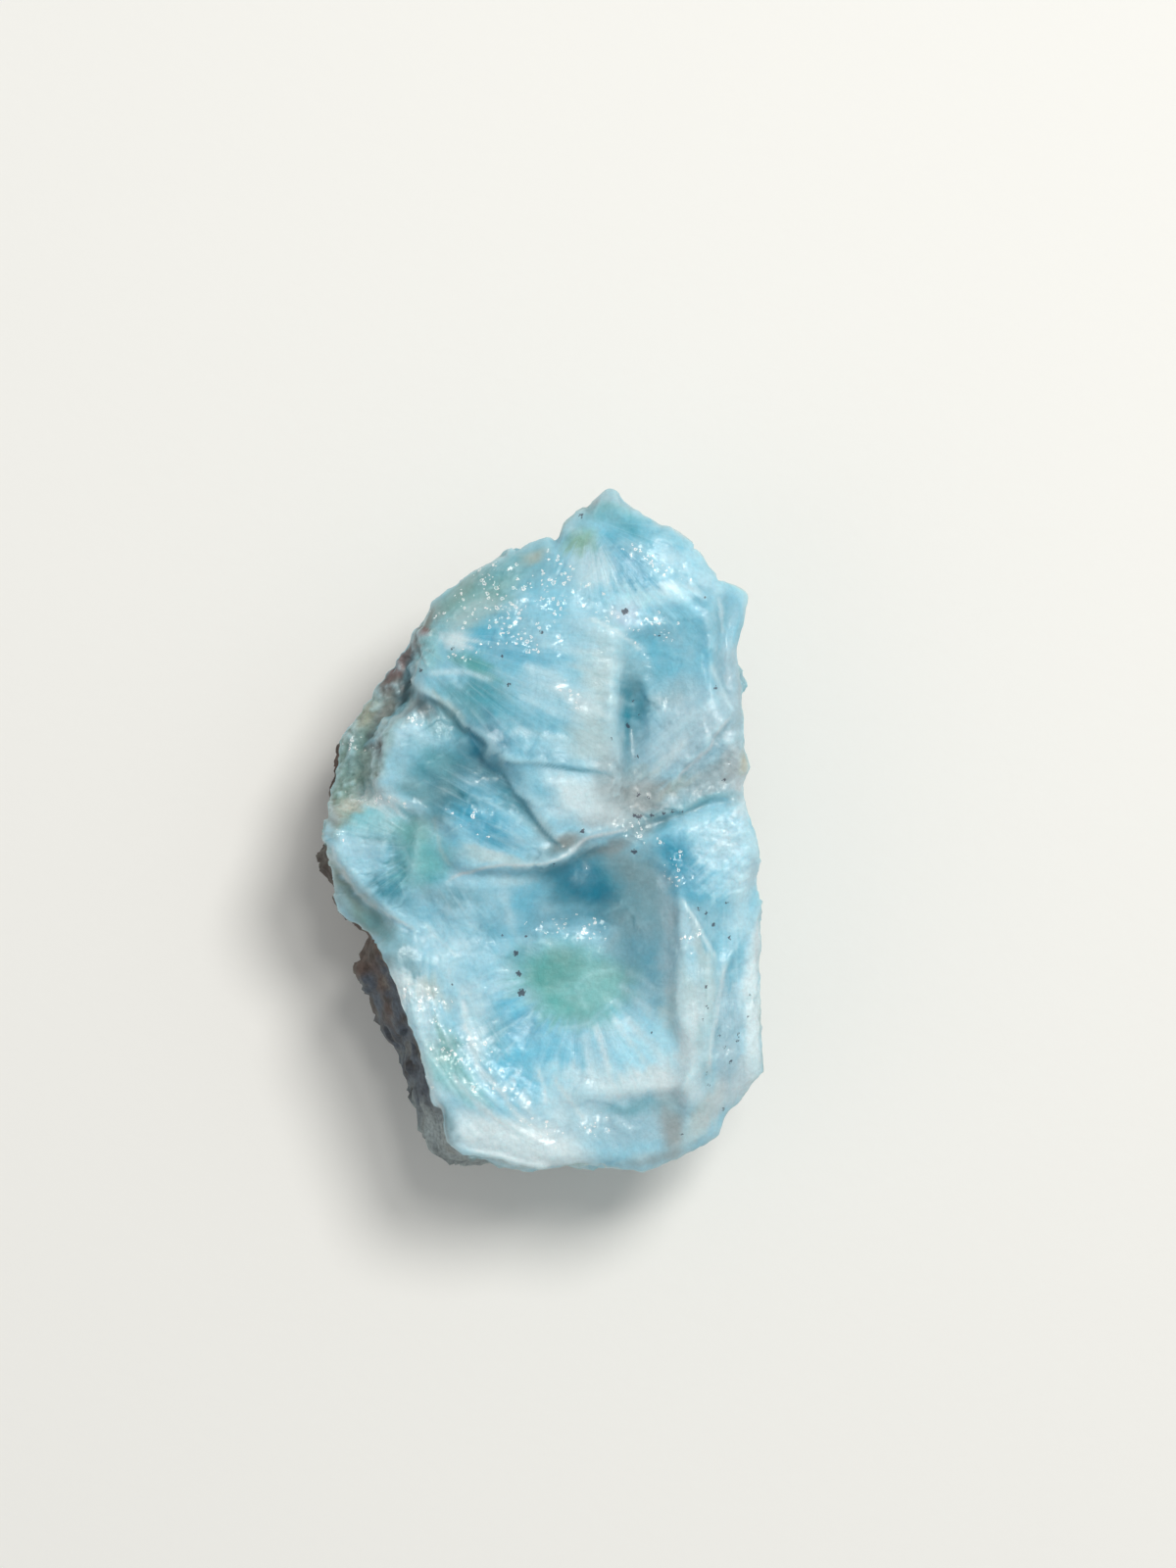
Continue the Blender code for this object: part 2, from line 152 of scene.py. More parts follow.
def lattice_vectors(cells: Array, seed: int) -> Array:
    """Gives every lattice cell three fixed numbers from -1 to 1.

    The cell's whole numbers are multiplied by large primes, folded together and shaken.

    Args:
        cells: Whole cell numbers, with the three axes last.
        seed: Number that tells one pattern from another.

    Returns:
        An array of the same shape.
    """
    whole = cells.astype(np.int64).astype(np.uint32)
    mixed = whole[..., 0] * np.uint32(73856093) ^ whole[..., 1] * np.uint32(19349663)
    mixed = mixed ^ whole[..., 2] * np.uint32(83492791) ^ np.uint32(seed * 7919 + 17)
    drawn = []
    for _ in range(3):
        mixed = (mixed ^ (mixed >> np.uint32(15))) * np.uint32(2246822519)
        mixed = (mixed ^ (mixed >> np.uint32(13))) * np.uint32(3266489917)
        mixed = mixed ^ (mixed >> np.uint32(16))
        drawn.append(mixed / 2.0**31 - 1)
    return np.stack(drawn, axis=-1)


def gradient_noise(points: Array, seed: int) -> Array:
    """Smooth noise of about -1 to 1.

    Each lattice corner holds a slope, and a point blends the eight slopes around it.

    Args:
        points: Places in cells of the noise, with the three axes last.
        seed: Number of the pattern.

    Returns:
        One value for each point.
    """
    points = points @ LATTICE_TURN
    base = np.floor(points)
    inside = points - base
    share = inside**3 * (inside * (inside * 6 - 15) + 10)
    total = np.zeros(points.shape[:-1])
    for corner in itertools.product((0, 1), repeat=3):
        slope = lattice_vectors(base + corner, seed)
        weight = np.prod(np.where(corner, share, 1 - share), axis=-1)
        total += weight * (slope * (inside - corner)).sum(axis=-1)
    return total * 1.4


def layered_noise(points: Array, seed: int, layers: int) -> Array:
    """Sum of gradient noises, each twice as fine and half as strong as the one before."""
    total = np.zeros(points.shape[:-1])
    for layer in range(layers):
        total += gradient_noise(points * 2.0**layer + 7.3 * layer, seed + layer) / 2.0**layer
    return total


def broken_cells(points: Array, seed: int) -> tuple[Array, Array]:
    """Cuts space into irregular grains, one round each lattice cell's own point.

    Args:
        points: Places in cells, with the three axes last.
        seed: Number of the pattern.

    Returns:
        The offset from the nearest grain's middle, and that grain's three fixed numbers.
    """
    base = np.floor(points)
    nearest = np.full(points.shape[:-1], np.inf)
    offset = np.zeros_like(points)
    drawn = np.zeros_like(points)
    for step in itertools.product((-1, 0, 1), repeat=3):
        cell = base + step
        numbers = lattice_vectors(cell, seed)
        away = points - (cell + 0.5 + 0.42 * numbers)
        distance = (away**2).sum(axis=-1)
        closer = distance < nearest
        nearest = np.where(closer, distance, nearest)
        offset = np.where(closer[..., None], away, offset)
        drawn = np.where(closer[..., None], numbers, drawn)
    return offset, drawn


def chip_facets(points: Array, size: float, seed: int) -> Array:
    """Height of flat chips: every grain's face is a plane tilted by its own three numbers.

    Args:
        points: Places in millimetres.
        size: Usual width of a chip in millimetres.
        seed: Number of the pattern.

    Returns:
        A height of about -1 to 1 for each point.
    """
    offset, drawn = broken_cells(points / size, seed)
    return 1.2 * (offset * drawn).sum(axis=-1) + 0.35 * drawn[..., 0]


def spline(points: Sequence[Point] | Array, steps: int, closed: bool = False) -> Array:
    """Catmull-Rom curve through points in the plane.

    Args:
        points: The points, in order.
        steps: New points to each stretch.
        closed: Whether the last point joins the first.

    Returns:
        The curve's points.
    """
    p = np.asarray(points, float)
    if closed:
        p = np.vstack([p[-1:], p, p[:2]])
    else:
        p = np.vstack([2 * p[0] - p[1], p, 2 * p[-1] - p[-2]])
    t = (np.arange(steps) / steps)[:, None, None]
    a, b, c, d = p[:-3], p[1:-2], p[2:-1], p[3:]
    q = 0.5 * (
        2 * b + (c - a) * t + (2 * a - 5 * b + 4 * c - d) * t**2 + (3 * b - a - 3 * c + d) * t**3
    )
    q = q.transpose(1, 0, 2).reshape(-1, 2)
    return q if closed else np.vstack([q, p[-2:-1]])


def path_distance(x: Array, y: Array, path: Array) -> tuple[Array, Array]:
    """Distance from points in the plane to a path.

    Args:
        x: Places across.
        y: Places along.
        path: The path's points.

    Returns:
        The distance, positive on the path's left, and the share of its length at the nearest point.
    """
    start, run = path[:-1], path[1:] - path[:-1]
    length = np.hypot(run[:, 0], run[:, 1])
    before = np.concatenate([[0.0], np.cumsum(length)[:-1]])
    px, py = x[..., None] - start[:, 0], y[..., None] - start[:, 1]
    along = np.clip((px * run[:, 0] + py * run[:, 1]) / length**2, 0, 1)
    away = np.hypot(px - along * run[:, 0], py - along * run[:, 1])
    side = np.sign(run[:, 0] * py - run[:, 1] * px)
    nearest = np.argmin(away, axis=-1)[..., None]
    signed = np.take_along_axis(away * side, nearest, -1)[..., 0]
    share = np.take_along_axis((before + along * length) / length.sum(), nearest, -1)[..., 0]
    return signed, share


@dataclass(frozen=True)
class Oval:
    """A turned ellipse on the face: its middle, half-axes and turn in degrees."""

    x: float
    y: float
    half_length: float
    half_width: float
    turn: float = 0.0

    def reach(self, x: Array, y: Array) -> Array:
        """Distance from the middle, 1 on the ellipse itself."""
        c, s = np.cos(np.radians(self.turn)), np.sin(np.radians(self.turn))
        dx, dy = x - self.x, y - self.y
        return np.hypot((dx * c + dy * s) / self.half_length, (dy * c - dx * s) / self.half_width)

    def cover(self, x: Array, y: Array, softness: float) -> Array:
        """1 well inside the ellipse and 0 well outside, with an edge of that softness."""
        return fade((1 + softness - self.reach(x, y)) / (2 * softness))


def most_cover(ovals: Sequence[Oval], x: Array, y: Array, softness: float) -> Array:
    """The largest cover of several ellipses at each place."""
    return np.max([oval.cover(x, y, softness) for oval in ovals], axis=0)


@dataclass(frozen=True)
class Facet:
    """One tilted plane of the broad face, which rules round its own middle."""

    name: str
    x: float
    y: float
    level: float
    rise_x: float
    rise_y: float
    half_length: float
    half_width: float
    turn: float

    def nearness(self, x: Array, y: Array) -> Array:
        """Squared elliptical distance from the facet's middle."""
        return Oval(self.x, self.y, self.half_length, self.half_width, self.turn).reach(x, y) ** 2

    def height(self, x: Array, y: Array) -> Array:
        """Level of the plane: its own level and its two slopes times the offsets."""
        return self.level + self.rise_x * (x - self.x) + self.rise_y * (y - self.y)


@dataclass(frozen=True)
class Ledge:
    """A step along a path, whose high side is on the left of its run."""

    name: str
    path: tuple[Point, ...]
    rise: float
    width: float
    reach: float
    fade_in: float
    fade_out: float

    def height(self, x: Array, y: Array) -> Array:
        """Half the rise times the tanh of distance over width, dying away over the reach."""
        away, share = path_distance(x, y, spline(self.path, 4))
        step = 0.5 * self.rise * np.tanh(away / self.width) * np.exp(-((away / self.reach) ** 2))
        return step * fade(share / self.fade_in) * fade((1 - share) / self.fade_out)


@dataclass(frozen=True)
class Outline:
    """A closed outline that is read outwards from one point."""

    points: tuple[Point, ...]
    hub: Point = (0.4, -0.6)
    steps: int = 4
    bay_smoothing: float = 9.0
    bay_samples: int = 17

    def radius(self, angle: Array) -> Array:
        """Radius of the outline at each bearing."""
        arm = spline(self.points, self.steps, closed=True) - np.array(self.hub)
        bearing = np.arctan2(arm[:, 1], arm[:, 0])
        order = np.argsort(bearing)
        return np.interp(angle, bearing[order], np.hypot(*arm.T)[order], period=2 * np.pi)

    def smooth_radius(self, angle: Array) -> Array:
        """The radius averaged over a few degrees, so that small bays disappear."""
        offsets = np.linspace(-2, 2, self.bay_samples)
        turn = np.radians(self.bay_smoothing)
        turned = [self.radius(angle + offset * turn) for offset in offsets]
        return np.average(turned, axis=0, weights=np.exp(-0.5 * offsets**2))


RIM = Outline((
    (4.3, 23.5), (4.9, 23.4), (5.5, 22.7), (7.8, 21.1), (8.5, 21.0), (9.7, 20.1), (11.7, 17.5),
    (12.3, 17.3), (13.7, 16.6), (13.9, 15.6), (13.3, 13.3), (13.1, 12.0), (13.5, 10.3), (13.6, 6.7),
    (14.1, 4.5), (13.5, 3.2), (13.9, 1.6), (14.5, -0.5), (14.7, -1.7), (14.5, -3.0), (14.8, -7.3),
    (14.7, -9.0), (14.85, -15.7), (14.8, -16.7), (12.3, -19.7), (11.7, -21.0), (10.1, -21.9),
    (7.2, -23.1), (5.7, -23.2), (3.0, -22.8), (-0.5, -23.1), (-2.3, -22.8), (-5.4, -22.1),
    (-6.5, -21.6), (-6.9, -20.5), (-7.1, -19.4), (-7.8, -17.9), (-8.9, -14.3), (-9.8, -11.8),
    (-10.7, -9.3), (-12.0, -7.2), (-13.8, -5.9), (-14.4, -4.6), (-15.0, 0.0), (-14.2, 5.6),
    (-13.7, 7.0), (-10.3, 11.5), (-8.2, 14.8), (-7.6, 15.9), (-6.3, 16.9), (-4.0, 18.4), (-0.3, 20.1),
    (0.8, 20.1), (1.4, 21.3), (2.3, 22.1), (3.2, 22.4), (3.8, 23.2),
))

BELLY = Outline((
    (4.2, 23.0), (7.8, 20.6), (11.3, 17.1), (13.4, 15.8), (12.8, 12.2), (13.2, 6.4), (13.3, 1.6),
    (14.2, -2.6), (14.3, -9.0), (14.6, -15.8), (12.0, -19.4), (10.8, -21.4), (6.6, -22.9),
    (4.8, -24.6), (2.3, -24.9), (0.0, -24.7), (-1.7, -24.6), (-4.4, -24.2), (-8.5, -24.9),
    (-9.4, -21.0), (-10.3, -17.6), (-10.5, -15.9), (-11.9, -14.4), (-13.1, -11.8), (-13.9, -10.1),
    (-13.6, -8.8), (-12.9, -7.5), (-14.2, -5.4), (-14.6, -4.0), (-15.9, -3.1), (-17.3, -2.2),
    (-16.6, -1.4), (-15.4, -0.4), (-15.2, 0.8), (-14.4, 2.0), (-14.7, 3.7), (-13.9, 5.6),
    (-12.0, 8.6), (-9.8, 11.3), (-7.4, 15.4), (-3.8, 17.9), (0.6, 19.6), (2.4, 21.6),
))

FACETS = (
    Facet("tip", 4.6, 21.8, 0.4, 0.0, -0.35, 2.6, 1.6, 0),
    Facet("top block", 6.6, 17.6, 2.0, -0.02, -0.16, 4.0, 2.6, -20),
    Facet("top block front", 6.5, 15.4, 1.5, 0.0, 0.02, 3.6, 1.2, -10),
    Facet("top left shoulder", 1.2, 18.4, 1.0, 0.2, -0.25, 3.0, 1.6, 20),
    Facet("top right shoulder", 10.6, 17.4, 0.9, -0.3, -0.15, 2.6, 1.6, -50),
    Facet("right knob", 12.8, 15.2, -0.2, -0.3, 0.0, 2.4, 1.0, 85),
    Facet("knob foot", 12.6, 10.8, 0.1, -0.3, 0.0, 2.8, 0.9, 90),
    Facet("slab shoulder", -6.2, 14.8, 0.2, 0.3, -0.15, 3.4, 2.0, 40),
    Facet("slab crown", -1.8, 14.2, 1.6, 0.16, -0.1, 3.4, 2.6, 20),
    Facet("slab middle", -0.5, 9.8, 2.3, 0.04, 0.02, 4.2, 3.4, 0),
    Facet("slab end", 4.0, 9.6, 2.5, -0.06, 0.02, 4.4, 1.6, 85),
    Facet("slab left", -5.6, 11.0, 1.1, 0.18, 0.0, 3.0, 2.4, -30),
    Facet("slab lip", 0.4, 5.9, 2.3, 0.0, -0.06, 4.6, 1.2, -4),
    Facet("wedge", 2.6, 2.4, 2.2, 0.0, 0.1, 2.8, 2.0, -10),
    Facet("wedge foot", 3.4, 0.4, 1.7, 0.0, 0.2, 3.2, 0.8, 12),
    Facet("trough", 6.0, 7.4, 0.4, 0.0, 0.02, 3.6, 0.8, 95),
    Facet("trough head", 7.2, 12.2, 1.15, 0.05, -0.02, 1.6, 1.4, 0),
    Facet("blue flat", 9.8, 11.6, 1.25, 0.05, 0.0, 2.6, 2.2, 90),
    Facet("streaked slope", 9.2, 6.6, 1.5, 0.14, 0.06, 3.2, 2.2, 30),
    Facet("slope crest", 12.0, 8.0, 1.7, 0.04, 0.04, 1.6, 1.0, 60),
    Facet("slope back", 11.6, 3.9, 1.1, -0.06, 0.14, 2.4, 1.4, 30),
    Facet("speckled saddle", 7.0, 2.2, 1.0, 0.04, 0.06, 2.0, 1.4, 10),
    Facet("left block", -8.2, 6.8, 0.9, 0.0, -0.06, 2.6, 1.4, 15),
    Facet("left block front", -10.0, 4.2, 0.6, 0.05, 0.1, 1.6, 1.8, 70),
    Facet("recess", -6.2, 4.4, 0.6, -0.08, 0.08, 2.6, 1.6, -10),
    Facet("middle facet", -3.2, 0.8, 1.4, 0.16, -0.06, 3.0, 1.6, -30),
    Facet("middle facet foot", -3.8, -1.2, 1.1, 0.04, 0.06, 3.2, 0.9, 5),
    Facet("left lobe", -12.6, 0.4, -0.5, 0.08, -0.04, 2.0, 1.8, 10),
    Facet("left lobe low", -11.8, -3.0, -0.9, 0.1, 0.1, 2.2, 1.2, -50),
    Facet("valley", -10.0, -2.0, -0.75, 0.0, 0.0, 1.8, 0.7, 80),
    Facet("green lump", -8.0, -1.8, -0.1, 0.05, 0.05, 1.6, 1.5, 0),
    Facet("lump foot", -8.6, -5.4, -0.7, -0.05, 0.12, 2.4, 1.4, -40),
    Facet("rind top", -10.3, 10.4, -1.9, 0.26, 0.0, 3.2, 1.3, 58),
    Facet("rind", -13.2, 5.0, -2.7, 0.1, 0.0, 3.6, 1.2, 88),
    Facet("shelf", -13.5, -4.6, -2.9, 0.2, 0.2, 3.0, 1.0, -42),
    Facet("bowl apron", -5.4, -5.0, 0.0, -0.05, 0.2, 2.8, 1.6, -5),
    Facet("bowl back wall", 0.6, -4.4, -0.2, 0.0, 0.6, 3.2, 1.2, 10),
    Facet("bowl corner", 5.2, -3.0, 0.2, 0.2, 0.4, 2.2, 1.6, 30),
    Facet("bowl right wall", 7.2, -8.8, 0.0, 0.55, 0.0, 4.8, 1.4, 88),
    Facet("bowl floor", 2.2, -9.6, -1.4, 0.03, 0.02, 3.4, 2.8, 0),
    Facet("bowl left slope", -4.2, -9.6, -0.6, -0.14, 0.05, 3.0, 2.2, -60),
    Facet("left rim", -8.6, -11.6, -0.1, -0.12, 0.0, 4.4, 1.3, -68),
    Facet("bottom left slope", -3.6, -16.4, -0.6, -0.1, -0.08, 3.4, 2.2, -50),
    Facet("bottom left rim", -5.0, -19.6, -0.6, -0.02, 0.1, 2.8, 1.2, -45),
    Facet("bottom lip", -0.6, -20.8, -0.9, -0.04, 0.03, 3.2, 1.6, -10),
    Facet("fan", 3.6, -15.2, -0.5, 0.08, -0.04, 2.8, 2.4, -30),
    Facet("fan rise", 7.4, -15.4, 0.05, 0.12, 0.04, 2.4, 1.6, 20),
    Facet("scar", 5.6, -19.8, -0.85, 0.02, 0.05, 3.0, 1.4, 0),
    Facet("scar end", 8.8, -20.2, -0.75, 0.22, 0.05, 1.6, 0.9, 80),
    Facet("bench head", 11.8, -1.8, 1.5, -0.08, -0.02, 2.4, 2.2, 60),
    Facet("bench shoulder", 8.8, -1.2, 1.6, 0.05, 0.1, 1.4, 1.2, 0),
    Facet("bench band", 10.2, -9.4, 1.5, -0.08, 0.0, 5.6, 1.0, 88),
    Facet("bench blue strip", 12.6, -11.6, 0.7, -0.22, 0.02, 5.6, 1.0, 90),
    Facet("bench rim", 14.2, -11.0, 0.2, -0.3, 0.0, 6.0, 0.7, 90),
    Facet("corner", 12.4, -17.6, -0.1, -0.2, 0.25, 2.4, 1.6, 45),
    Facet("corner foot", 10.6, -20.2, -0.8, -0.05, 0.2, 1.8, 1.2, 40),
)

LEDGES = (
    Ledge(
        "slab ledge",
        ((-8.6, 12.6), (-9.25, 11.2), (-9.2, 10.2), (-8.3, 9.4), (-7.0, 8.7), (-6.2, 7.9),
         (-5.6, 7.2), (-4.5, 6.6), (-3.95, 5.9), (-4.1, 5.2), (-3.7, 4.75)),
        0.6, 0.13, 0.9, 0.15, 0.08,
    ),
    Ledge(
        "slab crease",
        ((-3.8, 4.9), (-2.3, 4.7), (0.2, 4.6), (2.6, 4.3), (4.4, 3.9)),
        0.25, 0.12, 0.7, 0.1, 0.3,
    ),
    Ledge(
        "wedge groove",
        ((-3.5, 4.9), (-2.75, 4.3), (-2.5, 3.5), (-1.6, 2.1), (-0.2, 0.4), (1.2, -1.1)),
        0.4, 0.12, 0.8, 0.1, 0.1,
    ),
    Ledge(
        "bowl brow",
        ((-7.4, -3.8), (-5.6, -2.8), (-3.6, -2.5), (0.0, -2.3), (1.6, -1.7), (2.4, -1.0), (3.2, -0.5),
         (5.0, -0.1), (6.5, 0.6)),
        0.45, 0.22, 1.1, 0.3, 0.2,
    ),
    Ledge(
        "bowl right edge",
        ((6.6, -0.4), (7.8, -2.0), (8.8, -4.6), (9.4, -8.0), (9.5, -11.0), (9.0, -13.6), (8.2, -15.2)),
        0.06, 0.2, 1.0, 0.2, 0.4,
    ),
    Ledge(
        "bench ledge",
        ((6.9, 0.7), (8.0, 1.0), (9.5, 1.5), (11.0, 2.1), (12.8, 2.4)),
        0.4, 0.18, 0.9, 0.2, 0.1,
    ),
    Ledge(
        "top block edge",
        ((5.8, 15.2), (7.5, 15.4), (9.5, 15.6), (10.3, 15.9), (10.9, 16.6)),
        0.12, 0.16, 0.7, 0.3, 0.1,
    ),
    Ledge(
        "slab right edge",
        ((4.6, 4.6), (5.1, 7.0), (5.5, 9.2), (6.5, 11.2), (6.3, 12.6), (5.0, 13.6), (3.0, 14.4)),
        0.45, 0.5, 1.4, 0.2, 0.3,
    ),
    Ledge(
        "rind crevice",
        ((-8.6, 12.4), (-9.2, 10.8), (-9.35, 9.6), (-9.7, 8.4), (-10.9, 7.7), (-11.7, 6.8),
         (-11.8, 5.6)),
        0.8, 0.2, 0.9, 0.12, 0.3,
    ),
    Ledge(
        "lower lobe edge",
        ((-5.6, 1.0), (-7.4, 0.8), (-7.8, 1.5), (-8.6, 2.0), (-10.3, 2.6), (-12.0, 2.2)),
        0.1, 0.2, 0.8, 0.3, 0.2,
    ),
    Ledge(
        "shelf ridge",
        ((-14.8, -0.4), (-13.8, -2.6), (-12.6, -4.4), (-11.0, -5.6), (-9.2, -6.6), (-8.9, -7.4),
         (-7.4, -9.2)),
        0.45, 0.18, 1.0, 0.1, 0.35,
    ),
    Ledge(
        "bottom scar",
        ((3.4, -19.2), (4.2, -18.9), (5.0, -18.4), (6.5, -18.1), (8.0, -18.2)),
        0.08, 0.3, 0.9, 0.25, 0.4,
    ),
    Ledge(
        "slope crest",
        ((8.2, 2.5), (8.9, 3.2), (9.3, 4.0), (9.8, 4.7), (10.6, 5.2), (11.2, 5.8), (11.4, 6.5),
         (12.0, 7.0), (12.8, 8.0)),
        0.35, 0.16, 0.9, 0.15, 0.1,
    ),
    Ledge(
        "knob ledge",
        ((12.9, 8.2), (12.4, 9.2), (11.7, 10.6), (11.6, 12.6), (11.9, 14.4), (11.7, 16.4)),
        0.4, 0.2, 0.8, 0.2, 0.15,
    ),
    Ledge("corner ledge", ((8.8, -17.4), (9.5, -19.2), (9.9, -21.4)), 0.14, 0.4, 1.0, 0.3, 0.1),
    Ledge(
        "heart ledge",
        ((-0.6, -7.6), (0.6, -6.6), (2.6, -6.3), (4.0, -6.8), (5.0, -7.8)),
        0.22, 0.24, 0.8, 0.25, 0.25,
    ),
    Ledge(
        "bench crease",
        ((11.9, -9.0), (11.2, -7.4), (10.4, -6.0), (9.3, -4.2)),
        0.3, 0.15, 0.8, 0.3, 0.25,
    ),
    Ledge(
        "bench vein",
        ((11.3, -16.4), (11.6, -13.3), (12.1, -10.0), (13.3, -7.6)),
        0.4, 0.16, 0.9, 0.3, 0.2,
    ),
    Ledge(
        "bottom step",
        ((1.0, -22.8), (-0.8, -22.8), (-3.0, -22.2), (-5.0, -21.8), (-6.4, -21.2)),
        0.4, 0.15, 0.8, 0.2, 0.1,
    ),
)

# Flat chips on the lower flanks: bearing from +X, downward lean in degrees, distance at CHIP_LEVEL
CHIPS = (
    (2, 24, 12.4), (-28, 38, 12.9), (-52, 26, 18.6), (-78, 34, 18.4), (-104, 22, 22.0),
    (-136, 30, 16.6), (-172, 26, 13.8), (158, 40, 11.2), (132, 28, 14.7), (104, 38, 16.0),
    (80, 27, 20.6), (52, 36, 14.9), (26, 22, 14.4),
)
CHIP_LEVEL = 7.5
LEAST_FACING = 0.05

# Breaks round the flanks: bearing of the middle, half its spread, height, climb per radian, depth
BREAKS = (
    (-12, 34, 11.4, 1.8, 0.9), (38, 30, 9.2, -2.4, 0.8), (92, 36, 11.8, 1.6, 0.9),
    (140, 30, 8.8, 2.2, 0.7), (-60, 26, 9.8, -2.0, 0.8), (-100, 30, 12.0, 2.2, 0.7),
)

# Swells of the flanks: waves in radians per millimetre along X, Y and Z, shift and depth
SWELLS = (
    (0.31, 0.52, 0.6, 0.4, 0.22), (-0.62, 0.28, 0.85, 2.1, 0.18), (0.95, -0.74, 0.42, 4.0, 0.12),
    (-0.4, -1.12, 1.25, 1.2, 0.1), (1.5, 0.9, -1.1, 5.2, 0.06),
)


@dataclass(frozen=True)
class Spray:
    """A spray of fibres: where it starts, how it lies and the part of the face that it covers."""

    name: str
    lie: Lie
    hub: Point
    heading: float
    area: Oval
    pitch: float
    depth: float
    reach: float = 9.0
    core: float = 0.5
    softness: float = 0.45

    def coordinates(self, x: Array, y: Array) -> tuple[Array, Array]:
        """Places across and along the fibres, in millimetres.

        Args:
            x: Places across the face.
            y: Places along the face.

        Returns:
            Across and along. Round the hub, an angle counts as its arc at the spray's reach.
        """
        c, s = np.cos(np.radians(self.heading)), np.sin(np.radians(self.heading))
        dx, dy = x - self.hub[0], y - self.hub[1]
        forward, aside = dx * c + dy * s, dy * c - dx * s
        if self.lie is Lie.PARALLEL:
            return aside, forward
        arc, radius = np.arctan2(aside, forward) * self.reach, np.hypot(dx, dy)
        return (arc, radius) if self.lie is Lie.RADIATING else (radius, arc)

    def run(self, x: Array, y: Array) -> tuple[Array, Array]:
        """The way that the fibres run at each place, as a step of one in X and Y."""
        dx, dy = x - self.hub[0], y - self.hub[1]
        radius = np.maximum(np.hypot(dx, dy), 0.5)
        if self.lie is Lie.PARALLEL:
            return np.cos(np.radians(self.heading)) + 0 * x, np.sin(np.radians(self.heading)) + 0 * y
        return (dx / radius, dy / radius) if self.lie is Lie.RADIATING else (-dy / radius, dx / radius)

    def weight(self, x: Array, y: Array) -> Array:
        """How much the spray shows at each place: nothing right at its hub."""
        away = np.hypot(x - self.hub[0], y - self.hub[1]) if self.lie is not Lie.PARALLEL else np.inf
        return self.area.cover(x, y, self.softness) * fade((away - self.core) / 1.6)

    def strands(self, x: Array, y: Array, seed: int) -> Array:
        """Long uneven ridges: noise that is stretched twelve times along the fibres."""
        across, along = self.coordinates(x, y)
        cells = np.stack([across / self.pitch, along / (12 * self.pitch), 0 * x], axis=-1)
        return layered_noise(cells, seed, 2)


SPRAYS = (
    Spray("slab", Lie.RADIATING, (-10.3, 14.0), -16, Oval(-0.8, 10.6, 7.6, 5.6, -12), 0.75, 0.035),
    Spray("crown", Lie.RADIATING, (3.0, 21.5), -45, Oval(6.6, 17.6, 5.6, 3.6, -35), 0.8, 0.035),
    Spray("slope", Lie.PARALLEL, (9.2, 6.6), 38, Oval(9.8, 5.6, 4.0, 2.8, 35), 0.7, 0.06),
    Spray("middle", Lie.PARALLEL, (-3.4, 1.0), -28, Oval(-3.8, 1.4, 4.2, 3.0, -30), 0.8, 0.035),
    Spray("lobe", Lie.RADIATING, (-7.6, -1.2), 180, Oval(-11.4, -1.2, 3.6, 3.4), 0.8, 0.03, 5.0, 1.6),
    Spray("apron", Lie.PARALLEL, (-6.0, -6.0), -58, Oval(-5.8, -6.2, 3.0, 2.4, -20), 0.8, 0.03),
    Spray("bowl", Lie.RADIATING, (2.3, -9.6), -75, Oval(1.6, -13.2, 7.6, 5.4), 0.8, 0.05, 6.0, 2.6),
    Spray("strands", Lie.ARCED, (5.7, -8.7), 225, Oval(-4.9, -15.6, 8.4, 2.8, -60), 0.7, 0.1, 12.0),
    Spray("bench", Lie.PARALLEL, (12.0, -10.0), 94, Oval(12.0, -11.5, 8.6, 2.4, 92), 0.6, 0.03),
    Spray("hatch", Lie.PARALLEL, (12.0, -1.5), 42, Oval(12.2, -1.6, 3.2, 2.2, 70), 0.5, 0.05),
)


@dataclass(frozen=True)
class Zone:
    """A patch of colour in the stone, with a soft and wandering edge."""

    name: str
    hue: Hue
    area: Oval
    strength: float = 0.7
    softness: float = 0.7

    def share(self, x: Array, y: Array) -> Array:
        """How far the zone covers each place."""
        return self.strength * self.area.cover(x, y, self.softness)


@dataclass(frozen=True)
class Streak:
    """A line of colour along a path, such as a vein, a worn edge or a shaded crease."""

    name: str
    hue: Hue
    path: tuple[Point, ...]
    half_width: float
    strength: float = 0.7
    # Share of its length over which either end dies away
    end: float = 0.12

    def share(self, x: Array, y: Array) -> Array:
        """Strength times the bell of distance over half-width, dying away at both ends."""
        away, along = path_distance(x, y, spline(self.path, 4))
        bell = np.exp(-((away / self.half_width) ** 2))
        return self.strength * bell * fade(along / self.end) * fade((1 - along) / self.end)


